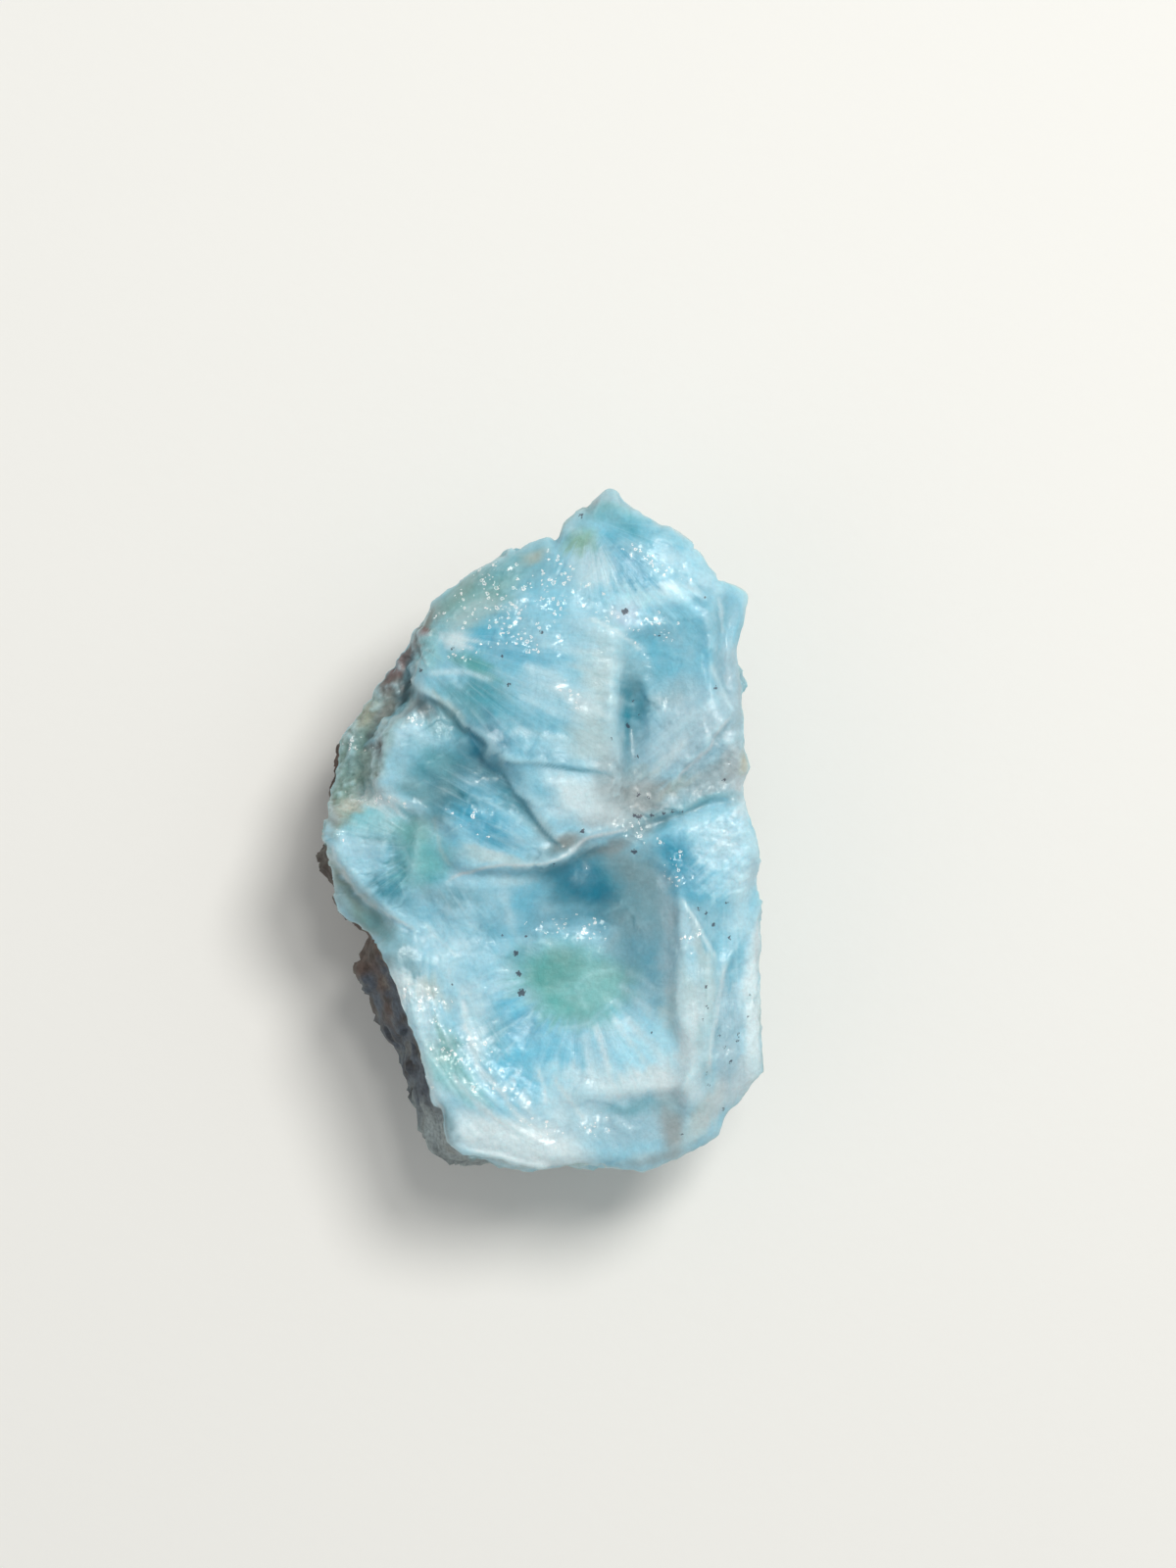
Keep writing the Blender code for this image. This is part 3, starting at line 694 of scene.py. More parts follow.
ZONES = (
    # Slab
    Zone("slab", Hue.LAGOON, Oval(-2.5, 13.0, 6.6, 4.6, 30), 0.75, 0.6),
    Zone("slab high", Hue.TEAL, Oval(-1.3, 17.3, 2.0, 1.0, 28), 0.9, 0.6),
    Zone("slab high right", Hue.ICE, Oval(0.9, 16.8, 0.9, 0.7), 0.6),
    Zone("slab right", Hue.SKY, Oval(1.8, 12.2, 4.0, 3.2, 90), 0.75, 0.6),
    Zone("slab top", Hue.SAGE, Oval(-4.4, 16.4, 3.6, 1.7, 32), 0.8, 0.6),
    Zone("slab top pale", Hue.MIST, Oval(-5.0, 14.8, 1.8, 0.9, 20), 0.6),
    Zone("shoulder", Hue.TEAL, Oval(-2.4, 18.4, 3.2, 0.9, 28), 0.6, 0.6),
    Zone("shoulder edge", Hue.RIND, Oval(-6.5, 16.2, 2.4, 0.7, 38), 0.6),
    Zone("shoulder sand", Hue.SAND, Oval(-0.8, 18.8, 0.8, 0.45, 20), 0.6, 0.8),
    Zone("slab light", Hue.LAGOON, Oval(-0.4, 17.4, 1.6, 1.2, 30), 0.6),
    Zone("slab blue", Hue.SKY, Oval(1.2, 15.2, 2.4, 1.1, -5), 0.9, 0.6),
    Zone("slab blue core", Hue.TURQUOISE, Oval(2.0, 15.5, 1.4, 0.6), 0.5, 0.8),
    Zone("slab blue low", Hue.AZURE, Oval(-1.7, 12.5, 2.4, 0.9, -18), 0.65),
    Zone("slab top blue", Hue.LAGOON, Oval(-1.6, 16.4, 1.0, 0.7), 0.5, 0.8),
    Zone("slab edge", Hue.DRAB, Oval(-8.5, 13.9, 1.8, 0.8, 60), 0.9, 0.6),
    Zone("slab edge low", Hue.AQUA, Oval(-8.1, 12.4, 1.4, 0.8, 70), 0.6, 0.6),
    Zone("slab blob", Hue.MILK, Oval(-5.7, 13.2, 1.3, 0.5, -10), 0.9),
    Zone("slab green", Hue.VERDIGRIS, Oval(-4.5, 11.3, 1.9, 0.7, -28), 0.75, 0.6),
    Zone("slab green low", Hue.REEF, Oval(-3.9, 8.8, 2.2, 1.2, -25), 0.95, 0.6),
    Zone("slab left middle", Hue.REEF, Oval(-5.7, 8.8, 1.9, 0.8, -35)),
    Zone("slab low", Hue.LAGOON, Oval(-0.7, 7.5, 4.0, 1.7, -8), 0.7, 0.6),
    Zone("slab low left", Hue.DEEP, Oval(-3.5, 6.7, 1.6, 0.8, -30), 0.85),
    Zone("slab mid pale", Hue.MILK, Oval(1.3, 9.3, 1.5, 0.6, -20), 0.6, 0.8),
    Zone("slab end", Hue.MIST, Oval(3.9, 9.9, 3.9, 1.7, 80), 0.85, 0.8),
    Zone("slab end low", Hue.MIST, Oval(3.5, 6.2, 2.2, 1.4), 0.65, 0.6),
    Zone("slab end white", Hue.MILK, Oval(3.2, 8.8, 1.8, 0.8, -25), 0.5, 0.8),
    Zone("slab lip blue", Hue.CERULEAN, Oval(0.2, 5.1, 2.4, 0.45, -4), 0.9, 0.8),
    Zone("slab lip", Hue.SAND, Oval(-6.5, 8.2, 1.5, 0.3, -45), 0.55),
    # Crown
    Zone("tip", Hue.STEEL, Oval(4.4, 22.7, 1.7, 1.0), 0.8, 0.6),
    Zone("tip green", Hue.VERDIGRIS, Oval(4.6, 21.7, 2.2, 0.7, -12), 0.6, 0.6),
    Zone("tip stain", Hue.RUST, Oval(3.4, 22.6, 0.3, 0.2, 50), 0.5, 0.8),
    Zone("crown teal", Hue.LAGOON, Oval(6.4, 20.4, 3.0, 1.0, -22), 0.9, 0.6),
    Zone("crown teal dark", Hue.REEF, Oval(5.4, 20.9, 1.5, 0.4, -25), 0.5, 0.8),
    Zone("crown teal low", Hue.CERULEAN, Oval(5.0, 19.4, 1.7, 0.8, -20), 0.85),
    Zone("crown edge", Hue.TEAL, Oval(1.8, 21.0, 1.1, 0.8, 50), 0.6, 0.6),
    Zone("crown edge dull", Hue.STEEL, Oval(2.4, 21.9, 1.2, 0.6, 50), 0.5, 0.8),
    Zone("crown olive", Hue.OLIVE, Oval(2.3, 19.8, 1.0, 0.8, 30), 0.8),
    Zone("crown pale", Hue.FROST, Oval(3.6, 17.8, 1.5, 1.7, 20), 0.8, 0.6),
    Zone("crown right", Hue.ICE, Oval(9.9, 18.4, 2.6, 1.1, -52), 0.8, 0.5),
    Zone("crown far", Hue.LAGOON, Oval(8.2, 20.6, 1.4, 0.6, -35), 1.0),
    Zone("crown white", Hue.MILK, Oval(7.2, 16.2, 2.4, 0.8, 4), 0.95, 0.6),
    Zone("crown white left", Hue.GLOW, Oval(6.3, 16.3, 2.0, 0.7)),
    Zone("crown middle", Hue.GLOW, Oval(4.6, 16.4, 1.2, 0.7), 0.8),
    Zone("crown azure", Hue.AZURE, Oval(6.1, 18.0, 1.7, 0.75, -32), 1.0, 0.6),
    Zone("crown front", Hue.GLOW, Oval(8.2, 15.4, 2.6, 0.9, 6), 0.97, 0.5),
    Zone("crown turquoise", Hue.SKY, Oval(2.8, 16.0, 1.7, 0.9), 0.6),
    Zone("blotch halo", Hue.LILAC, Oval(5.4, 15.0, 0.8, 0.6), 0.6, 0.8),
    # Blue flat and knob
    Zone("blue flat", Hue.LAGOON, Oval(8.9, 12.6, 2.8, 2.5, 90), 0.9, 0.4),
    Zone("blue flat low", Hue.PEARL, Oval(9.4, 9.8, 2.0, 0.9, 10), 0.6),
    Zone("knob", Hue.CERULEAN, Oval(12.8, 14.6, 2.3, 1.1, 88), 0.45, 0.5),
    Zone("knob foot", Hue.PEARL, Oval(12.7, 10.2, 2.6, 1.0, 98), 0.85, 0.5),
    Zone("right edge", Hue.ASH, Oval(13.8, 7.4, 3.8, 0.6, 92), 0.5, 0.5),
    Zone("slope back edge", Hue.CHALK, Oval(12.8, 5.0, 1.5, 0.7, 80)),
    Zone("right edge low", Hue.CHALK, Oval(13.5, 2.3, 1.8, 0.7, 92), 0.9, 0.6),
    Zone("gully", Hue.CERULEAN, Oval(11.1, 14.9, 1.7, 0.6, 88), 0.9, 0.6),
    Zone("gully low", Hue.CERULEAN, Oval(11.5, 12.2, 1.8, 0.4, 98)),
    # Trough, slope and saddle
    Zone("trough", Hue.HARBOUR, Oval(6.1, 8.6, 2.5, 0.8, 95), 0.85),
    Zone("trough head", Hue.STEEL, Oval(6.5, 11.0, 1.2, 0.6, 80), 0.4, 0.8),
    Zone("trough low", Hue.HARBOUR, Oval(6.0, 6.2, 1.9, 0.5, 86), 0.95),
    Zone("slope top", Hue.STEEL, Oval(8.1, 9.3, 1.5, 0.6, 20), 0.85, 0.8),
    Zone("trough side", Hue.HARBOUR, Oval(7.4, 10.4, 1.0, 0.6, 60), 0.35, 0.8),
    Zone("slab foot right", Hue.STEEL, Oval(4.7, 7.6, 1.3, 0.6, 85), 0.5, 0.8),
    Zone("slope crest", Hue.ASH, Oval(12.6, 7.2, 1.4, 0.7, 60), 0.5),
    Zone("trough lump", Hue.LAGOON, Oval(7.9, 9.8, 1.0, 0.6), 0.5, 0.8),
    Zone("slope", Hue.PEARL, Oval(9.6, 6.6, 3.8, 2.3, 35), 0.85, 0.5),
    Zone("slope white", Hue.FROST, Oval(9.6, 7.4, 2.6, 0.5, 38), 0.45, 0.8),
    Zone("slope white low", Hue.MILK, Oval(8.6, 5.4, 1.8, 0.4, 40), 0.5, 0.8),
    Zone("slope back", Hue.ASH, Oval(11.4, 3.7, 2.7, 1.3, 30), 0.65, 0.5),
    Zone("saddle", Hue.ASH, Oval(6.6, 2.6, 2.0, 1.5), 0.95, 0.6),
    Zone("saddle low", Hue.ASH, Oval(5.6, 1.1, 2.6, 0.8, 6), 0.9, 0.6),
    Zone("saddle left", Hue.STEEL, Oval(5.4, 1.0, 1.4, 0.6), 0.5, 0.8),
    # Painted shade under the bench ledge
    Zone("saddle foot", Hue.STEEL, Oval(7.2, 0.7, 1.6, 0.6, 15), 1.0, 0.6),
    Zone("saddle foot shade", Hue.SHADE, Oval(7.3, 0.7, 1.1, 0.35, 15), 0.25, 0.8),
    Zone("saddle lump", Hue.MIST, Oval(7.0, 4.3, 0.8, 0.35, -10), 0.6),
    Zone("slope sand", Hue.SAND, Oval(8.9, 3.2, 1.2, 0.3, 40), 0.35, 0.8),
    Zone("rim dots", Hue.SAND, Oval(13.6, 4.5, 0.6, 0.4, 90), 0.7, 0.8),
    Zone("ledge shade", Hue.TEAL, Oval(10.8, 2.0, 2.7, 0.4, 14), 0.75),
    Zone("wedge", Hue.MILK, Oval(2.5, 2.3, 2.8, 1.5, -20), 0.9, 0.6),
    Zone("wedge blue", Hue.LAGOON, Oval(-0.6, 3.4, 1.6, 0.8, -40)),
    Zone("wedge grey", Hue.ASH, Oval(4.5, 3.6, 1.3, 2.0), 0.65, 0.6),
    Zone("wedge tip", Hue.ASH, Oval(0.9, -0.9, 1.7, 0.6, 15), 0.9),
    Zone("wedge tip shade", Hue.DRAB, Oval(0.8, -1.2, 1.5, 0.5, 14), 0.65),
    Zone("wedge side", Hue.STEEL, Oval(-0.4, 0.4, 1.1, 0.7, -50), 0.95),
    # Left blocks
    Zone("left block", Hue.ICE, Oval(-9.6, 6.2, 2.2, 1.6, 20), 0.85, 0.5),
    # Painted shade just under the slab's lip
    Zone("left top", Hue.TEAL, Oval(-7.0, 7.5, 1.5, 0.8, -20), 0.85),
    Zone("left teal", Hue.REEF, Oval(-7.1, 4.4, 2.9, 1.6, -15), 0.85, 0.6),
    Zone("left block foot", Hue.SKY, Oval(-9.1, 5.2, 1.1, 0.8)),
    Zone("left block top", Hue.RIND, Oval(-10.2, 7.5, 1.1, 0.5, 10), 0.5, 0.8),
    Zone("left teal end", Hue.PETROL, Oval(-4.9, 3.9, 1.7, 1.0, -35), 1.0, 0.5),
    Zone("block sage", Hue.TEAL, Oval(-6.4, 4.7, 1.1, 0.6), 0.6, 0.8),
    Zone("left teal low", Hue.HARBOUR, Oval(-7.0, 2.8, 2.0, 0.8, -35), 0.85, 0.6),
    Zone("left arc", Hue.HARBOUR, Oval(-7.4, 1.8, 1.3, 0.7, -50), 0.95),
    Zone("left arc deep", Hue.PETROL, Oval(-6.5, 2.8, 1.4, 0.7, -30), 0.75, 0.8),
    Zone("left arc low", Hue.TEAL, Oval(-9.0, 2.8, 1.4, 0.7, -15), 0.9),
    Zone("lump crest", Hue.CERULEAN, Oval(-7.5, 0.6, 0.9, 0.4, -60), 0.6),
    Zone("block lump", Hue.TEAL, Oval(-6.8, 3.2, 0.8, 0.5), 0.5),
    Zone("left blue", Hue.CERULEAN, Oval(-4.5, 3.0, 1.6, 0.9, -30), 0.8, 0.6),
    Zone("left blue low", Hue.HARBOUR, Oval(-5.8, 1.9, 1.3, 0.6, -20), 0.6),
    Zone("left blue right", Hue.HARBOUR, Oval(-2.3, 2.1, 1.5, 0.7, -55), 0.9),
    # Painted shadow in deep teal at the foot of the slab ledge
    Zone("ledge foot glow", Hue.HARBOUR, Oval(-4.9, 5.6, 2.0, 1.2, -50), 0.75, 0.8),
    Zone("ledge foot", Hue.DEEP, Oval(-4.6, 6.0, 1.4, 0.42, -62), 0.85, 0.6),
    Zone("ledge foot low", Hue.HARBOUR, Oval(-4.0, 4.3, 1.5, 0.6, -40), 0.95),
    Zone("ledge foot end", Hue.DEEP, Oval(-3.5, 4.6, 0.8, 0.3, -50), 0.8, 0.8),
    Zone("middle left", Hue.LAGOON, Oval(-6.5, -1.2, 1.5, 1.2), 0.6),
    Zone("middle light", Hue.SKY, Oval(-1.6, -0.2, 2.6, 0.9, -35), 0.7, 0.6),
    Zone("middle low", Hue.MIST, Oval(-3.4, -1.8, 2.8, 0.5, -8), 0.75, 0.6),
    Zone("middle blue low", Hue.TURQUOISE, Oval(-3.1, -0.6, 1.7, 0.5, -25), 0.5),
    Zone("middle blue", Hue.AZURE, Oval(-4.2, 0.6, 2.2, 1.0, -25), 0.95, 0.6),
    # Lobe and lump
    Zone("lobe light", Hue.ICE, Oval(-13.0, -1.2, 2.3, 1.0, -57), 0.9, 0.6),
    Zone("lobe aqua", Hue.AQUA, Oval(-11.6, 0.8, 1.9, 1.1, 5), 0.6, 0.6),
    Zone("lobe middle", Hue.TEAL, Oval(-10.6, -0.8, 1.2, 0.9), 0.85),
    Zone("lobe top", Hue.MILK, Oval(-11.3, 1.9, 1.8, 0.45, -8), 0.9),
    Zone("lobe blue", Hue.SKY, Oval(-11.4, -1.9, 1.5, 1.0, -45), 0.6, 0.6),
    Zone("lobe teal", Hue.HARBOUR, Oval(-10.8, -3.8, 1.4, 0.8, -40), 0.85, 0.6),
    Zone("lobe teal low", Hue.HARBOUR, Oval(-9.5, -5.0, 1.5, 0.7, -35), 0.65),
    Zone("valley", Hue.HARBOUR, Oval(-10.2, -2.4, 1.5, 0.4, 100), 0.85),
    Zone("lump head", Hue.SAGE, Oval(-8.8, 0.3, 1.4, 1.0, 15)),
    Zone("lump", Hue.SEA_GREEN, Oval(-8.5, -1.9, 1.9, 1.5, 75), 0.65),
    Zone("lump rim", Hue.REEF, Oval(-7.9, -3.3, 1.3, 0.5, -20), 0.6, 0.8),
    Zone("lump foot", Hue.TEAL, Oval(-7.4, -4.1, 1.5, 0.4, -20), 0.5),
    # Rind and shelf
    Zone("rind", Hue.RIND, Oval(-13.1, 4.8, 4.4, 1.9, 82), 0.97, 0.25),
    Zone("lobe edge", Hue.RIND, Oval(-14.6, -2.1, 1.4, 0.6, -60), 1.0, 0.6),
    Zone("rind middle", Hue.SAND, Oval(-12.1, 8.4, 2.6, 0.7, 52), 0.45, 0.4),
    Zone("rind wet", Hue.STEEL, Oval(-13.2, 5.6, 1.6, 0.6, 80), 0.35, 0.8),
    Zone("rind inner", Hue.DRAB, Oval(-10.5, 8.9, 2.2, 0.7, 60), 0.9, 0.6),
    Zone("rind foot", Hue.RIND, Oval(-14.5, 1.4, 1.6, 0.6, 95), 0.95, 0.6),
    Zone("rind foot shade", Hue.DRAB, Oval(-14.7, 1.4, 1.2, 0.5, 95), 0.9, 0.6),
    Zone("rind top", Hue.UMBER, Oval(-10.1, 11.3, 2.0, 0.8, 58), 0.85, 0.4),
    Zone("rind top rust", Hue.RUST, Oval(-9.9, 11.6, 1.2, 0.5, 60), 0.5),
    Zone("rind top high", Hue.ASH, Oval(-9.2, 12.8, 0.9, 0.5, 62), 0.6),
    Zone("rind low", Hue.IVORY, Oval(-13.0, 1.9, 1.4, 0.7, 20), 0.8, 0.6),
    Zone("rind low right", Hue.MIST, Oval(-11.8, 2.5, 1.1, 0.7), 0.8),
    Zone("rind stain", Hue.RUST, Oval(-8.4, 13.6, 0.5, 0.2, 70), 0.8),
    # The crevice zones in SHADE and GRAPHITE are painted shade down the crevice between rind and blocks
    Zone("crevice", Hue.SHADE, Oval(-9.3, 9.3, 1.6, 0.55, 80), 0.97, 0.5),
    Zone("crevice core", Hue.GRAPHITE, Oval(-9.5, 9.2, 0.9, 0.3, 82), 0.85),
    Zone("crevice end", Hue.SHADE, Oval(-8.7, 8.8, 1.5, 0.7, -30), 1.0, 0.6),
    Zone("crevice low", Hue.SHADE, Oval(-11.6, 6.0, 0.9, 0.42, 98), 0.97),
    Zone("crevice side", Hue.RIND, Oval(-11.0, 6.3, 1.0, 0.6, 80), 0.6),
    Zone("crevice low core", Hue.GRAPHITE, Oval(-11.6, 5.9, 0.8, 0.28, 98)),
    Zone("shelf", Hue.RIND, Oval(-12.9, -5.0, 3.6, 0.8, -46), 0.9, 0.4),
    Zone("shelf head", Hue.SKY, Oval(-12.6, -4.1, 1.3, 0.5, -50), 0.55, 0.8),
    Zone("shelf shade", Hue.SHADE, Oval(-13.6, -3.5, 1.7, 0.4, -60), 0.25),
    Zone("shelf outer", Hue.STEEL, Oval(-13.9, -4.8, 1.3, 0.5, -60), 0.7, 0.6),
    Zone("shelf low", Hue.TEAL, Oval(-11.2, -6.6, 1.7, 0.6, -38), 0.6, 0.6),
    # Bowl
    Zone("apron", Hue.SKY, Oval(-6.4, -6.2, 2.6, 1.8, -35), 0.95, 0.5),
    Zone("apron ice", Hue.ICE, Oval(-7.0, -7.6, 1.6, 1.0, -40), 0.8),
    Zone("apron top", Hue.SKY, Oval(-4.2, -3.5, 3.2, 0.6, 5), 0.7, 0.6),
    Zone("apron azure", Hue.HARBOUR, Oval(-6.0, -4.2, 2.0, 0.6, 3), 0.55, 0.8),
    Zone("apron grey", Hue.CERULEAN, Oval(-3.4, -6.6, 1.5, 1.3, 90)),
    Zone("apron right", Hue.TURQUOISE, Oval(-1.0, -4.6, 1.5, 0.9, 70), 0.45),
    Zone("apron low", Hue.CERULEAN, Oval(-0.9, -6.7, 1.2, 0.9)),
    Zone("brow foot", Hue.FROST, Oval(-2.2, -3.2, 1.4, 0.4)),
    Zone("apron streak", Hue.FROST, Oval(-2.4, -5.4, 1.7, 0.35, 100), 0.35, 0.8),
    Zone("left bottom", Hue.STEEL, Oval(-9.7, -8.4, 1.5, 0.9, -50), 0.9, 0.6),
    Zone("left bottom rim", Hue.DRAB, Oval(-10.7, -8.9, 1.2, 0.5, -50), 0.45, 0.8),
    # The bowl's right wall faces away from the light: its grey-blue is partly painted shade
    Zone("bowl wall", Hue.STEEL, Oval(6.8, -6.6, 5.6, 2.7, 86), 0.9, 0.5),
    Zone("bowl wall low", Hue.CERULEAN, Oval(6.6, -9.2, 2.8, 1.6, 75), 0.65, 0.6),
    Zone("bowl wall foot", Hue.ICE, Oval(5.8, -11.2, 2.0, 0.9, -50), 0.8, 0.8),
    Zone("bowl wall right", Hue.PEARL, Oval(8.7, -7.6, 4.2, 0.9, 94), 0.65, 0.6),
    Zone("bowl wall top", Hue.ICE, Oval(8.5, -3.1, 1.5, 0.7, -60)),
    Zone("bowl wall end", Hue.MIST, Oval(8.8, -12.2, 1.7, 0.7, 80)),
    Zone("bowl wall olive", Hue.DRAB, Oval(4.9, -1.9, 1.8, 0.9, -30), 0.45, 0.8),
    Zone("brow shade", Hue.ASH, Oval(4.4, -0.9, 1.9, 0.45, 22), 0.75),
    # Under the brow: the stone's deep blue with painted shade laid over it
    Zone("bowl deep glow", Hue.HARBOUR, Oval(2.8, -3.6, 2.9, 2.1, -20), 0.9, 0.6),
    Zone("bowl deep", Hue.DEEP, Oval(2.4, -3.6, 2.2, 1.5, -25), 0.8, 0.6),
    Zone("bowl spot", Hue.DEEP, Oval(3.9, -4.5, 0.9, 0.7), 0.7, 0.8),
    Zone("left slope white", Hue.FROST, Oval(-6.9, -9.2, 1.3, 0.9, -30), 0.6, 0.8),
    Zone("left lump", Hue.ICE, Oval(-2.6, -10.4, 2.2, 0.9, 98), 0.85, 0.6),
    Zone("left lump grey", Hue.TEAL, Oval(-1.9, -8.9, 1.2, 1.0)),
    Zone("left lump low", Hue.TURQUOISE, Oval(-2.4, -12.0, 1.1, 0.7), 0.75),
    Zone("heart", Hue.SEA_GREEN, Oval(1.9, -10.5, 3.5, 2.6, -20), 0.95, 0.55),
    Zone("heart right", Hue.SAGE, Oval(4.3, -10.2, 1.7, 1.0, 30), 0.6, 0.8),
    Zone("heart low", Hue.AQUA, Oval(3.0, -10.6, 2.3, 1.4, -15), 0.6, 0.6),
    Zone("heart left", Hue.VERDIGRIS, Oval(0.4, -9.4, 1.7, 1.1, 20), 0.8),
    Zone("glint band", Hue.CERULEAN, Oval(2.6, -6.2, 2.4, 0.8, -6), 0.7, 0.6),
    Zone("glint band right", Hue.HARBOUR, Oval(3.8, -5.9, 1.2, 0.5), 0.5, 0.8),
    Zone("glint frost", Hue.ICE, Oval(2.0, -6.6, 2.0, 0.35, -6), 0.5, 0.8),
    Zone("heart foot", Hue.TURQUOISE, Oval(0.8, -14.4, 3.4, 1.2, -8), 0.9, 0.6),
    Zone("heart foot left", Hue.AZURE, Oval(-1.8, -13.1, 1.4, 0.9), 0.8),
    Zone("heart foot white", Hue.TURQUOISE, Oval(6.0, -13.2, 1.8, 0.8, -40)),
    Zone("left floor", Hue.REEF, Oval(-3.3, -14.0, 1.6, 0.8, 90), 0.45, 0.8),
    Zone("left floor blue", Hue.TURQUOISE, Oval(-1.8, -16.0, 2.2, 1.1, -60), 0.6),
    # Bottom
    Zone("fan", Hue.FROST, Oval(3.0, -16.0, 3.4, 1.8, -20), 0.75, 0.6),
    Zone("fan blue", Hue.TURQUOISE, Oval(1.4, -14.7, 2.8, 0.9, -6), 0.55),
    Zone("fan blue low", Hue.TURQUOISE, Oval(-1.7, -16.9, 1.4, 0.8, -60), 0.55),
    Zone("fan left white", Hue.GLOW, Oval(0.8, -17.4, 2.0, 0.9, -70), 0.8, 0.8),
    Zone("fan white", Hue.GLOW, Oval(7.0, -14.8, 3.0, 1.8, -40), 0.75, 0.5),
    Zone("fan foot", Hue.MILK, Oval(6.9, -17.1, 3.4, 1.0, 3), 0.9, 0.6),
    Zone("scar light", Hue.PEARL, Oval(6.0, -20.2, 2.8, 1.3), 0.7, 0.6),
    # Painted shade in teal just below the scar's edge
    Zone("scar", Hue.TEAL, Oval(6.0, -18.9, 2.0, 0.5, 6), 0.6, 0.8),
    Zone("corner dark", Hue.ASH, Oval(8.6, -20.6, 2.4, 0.8, 100), 0.9, 0.6),
    Zone("corner head", Hue.MILK, Oval(9.4, -17.9, 1.2, 0.9), 0.8),
    Zone("bottom rim", Hue.ASH, Oval(7.6, -22.4, 2.0, 0.5, 15), 0.6),
    Zone("corner", Hue.MIST, Oval(10.9, -19.2, 2.2, 1.0, 60), 0.95, 0.6),
    Zone("corner rim", Hue.CHALK, Oval(13.1, -17.2, 3.2, 1.1, 52), 0.7, 0.6),
    Zone("left rim", Hue.MILK, Oval(-9.4, -10.8, 2.0, 1.1, -35), 0.9, 0.5),
    Zone("left rim sand", Hue.IVORY, Oval(-7.9, -10.9, 1.5, 0.7, -30), 0.6, 0.8),
    Zone("left rim low", Hue.FROST, Oval(-8.2, -13.4, 3.2, 0.9, -68), 0.8, 0.6),
    Zone("left rim foot", Hue.MILK, Oval(-7.8, -16.6, 1.8, 0.6, -65), 0.85),
    Zone("left sage", Hue.SAGE, Oval(-6.8, -15.2, 1.7, 0.9, -70), 0.75),
    Zone("left aqua", Hue.AQUA, Oval(-5.9, -17.3, 2.0, 0.9, -45), 0.7, 0.6),
    Zone("left white", Hue.FROST, Oval(-5.1, -13.4, 2.8, 0.8, 95), 0.85, 0.6),
    Zone("bottom white", Hue.MILK, Oval(-2.0, -21.2, 5.0, 1.8, -13), 0.97, 0.4),
    Zone("bottom white right", Hue.MILK, Oval(0.6, -22.6, 2.2, 0.8), 0.97, 0.5),
    Zone("left foot", Hue.STEEL, Oval(-6.8, -20.3, 1.4, 0.8, -75), 0.95, 0.6),
    Zone("left foot shade", Hue.SHADE, Oval(-6.9, -20.5, 1.3, 0.6, -75)),
    Zone("bottom strand", Hue.MILK, Oval(-1.1, -18.6, 1.1, 0.5, -50), 0.7, 0.8),
    Zone("bottom pearl", Hue.FROST, Oval(2.0, -19.4, 2.3, 1.7, 110), 0.8, 0.6),
    Zone("bottom pearl low", Hue.PEARL, Oval(1.6, -20.9, 1.0, 0.6), 0.4, 0.8),
    # Bench
    Zone("bench", Hue.MIST, Oval(10.6, -10.8, 5.4, 1.2, 92), 0.8, 0.45),
    Zone("bench pale low", Hue.MILK, Oval(9.8, -14.5, 2.4, 0.9, 92), 0.9, 0.6),
    Zone("bench head", Hue.ICE, Oval(12.3, -1.7, 3.2, 2.1, 75), 0.9, 0.45),
    Zone("bench head left", Hue.SKY, Oval(10.7, -0.8, 1.1, 1.0)),
    Zone("bench head white", Hue.FROST, Oval(12.4, -0.2, 2.0, 0.8, -20), 0.5),
    Zone("bench azure low", Hue.LAGOON, Oval(10.6, -4.8, 2.2, 0.9, -50), 0.85),
    Zone("bench azure", Hue.AZURE, Oval(9.2, -2.2, 2.4, 1.2, -58), 0.95, 0.6),
    Zone("bench azure deep", Hue.DEEP, Oval(8.6, -1.4, 1.2, 0.7, -50), 0.35, 0.8),
    Zone("bench lump", Hue.FROST, Oval(8.3, -3.4, 0.6, 0.4), 0.5),
    Zone("bench lilac", Hue.ICE, Oval(9.7, -7.2, 2.7, 0.5, -75), 0.8, 0.6),
    Zone("bench crease", Hue.CERULEAN, Oval(11.0, -7.0, 1.7, 0.3, -62), 0.65, 0.8),
    Zone("bench pale", Hue.FROST, Oval(13.4, -4.4, 2.6, 0.8, 85), 0.7, 0.6),
    Zone("bench facet", Hue.PEARL, Oval(12.6, -13.0, 4.4, 0.9, 88), 0.7, 0.4),
    Zone("bench facet top", Hue.LAGOON, Oval(13.0, -9.0, 1.5, 0.5, 80), 0.8, 0.6),
    Zone("bench rim", Hue.MILK, Oval(14.3, -12.8, 5.2, 0.7, 90), 0.95, 0.5),
    Zone("bench rim top", Hue.CHALK, Oval(14.7, -7.6, 1.8, 0.5, 90), 0.8, 0.6),
    Zone("bench rim head", Hue.PEARL, Oval(14.3, -2.6, 1.4, 0.5, 90), 0.65),
)

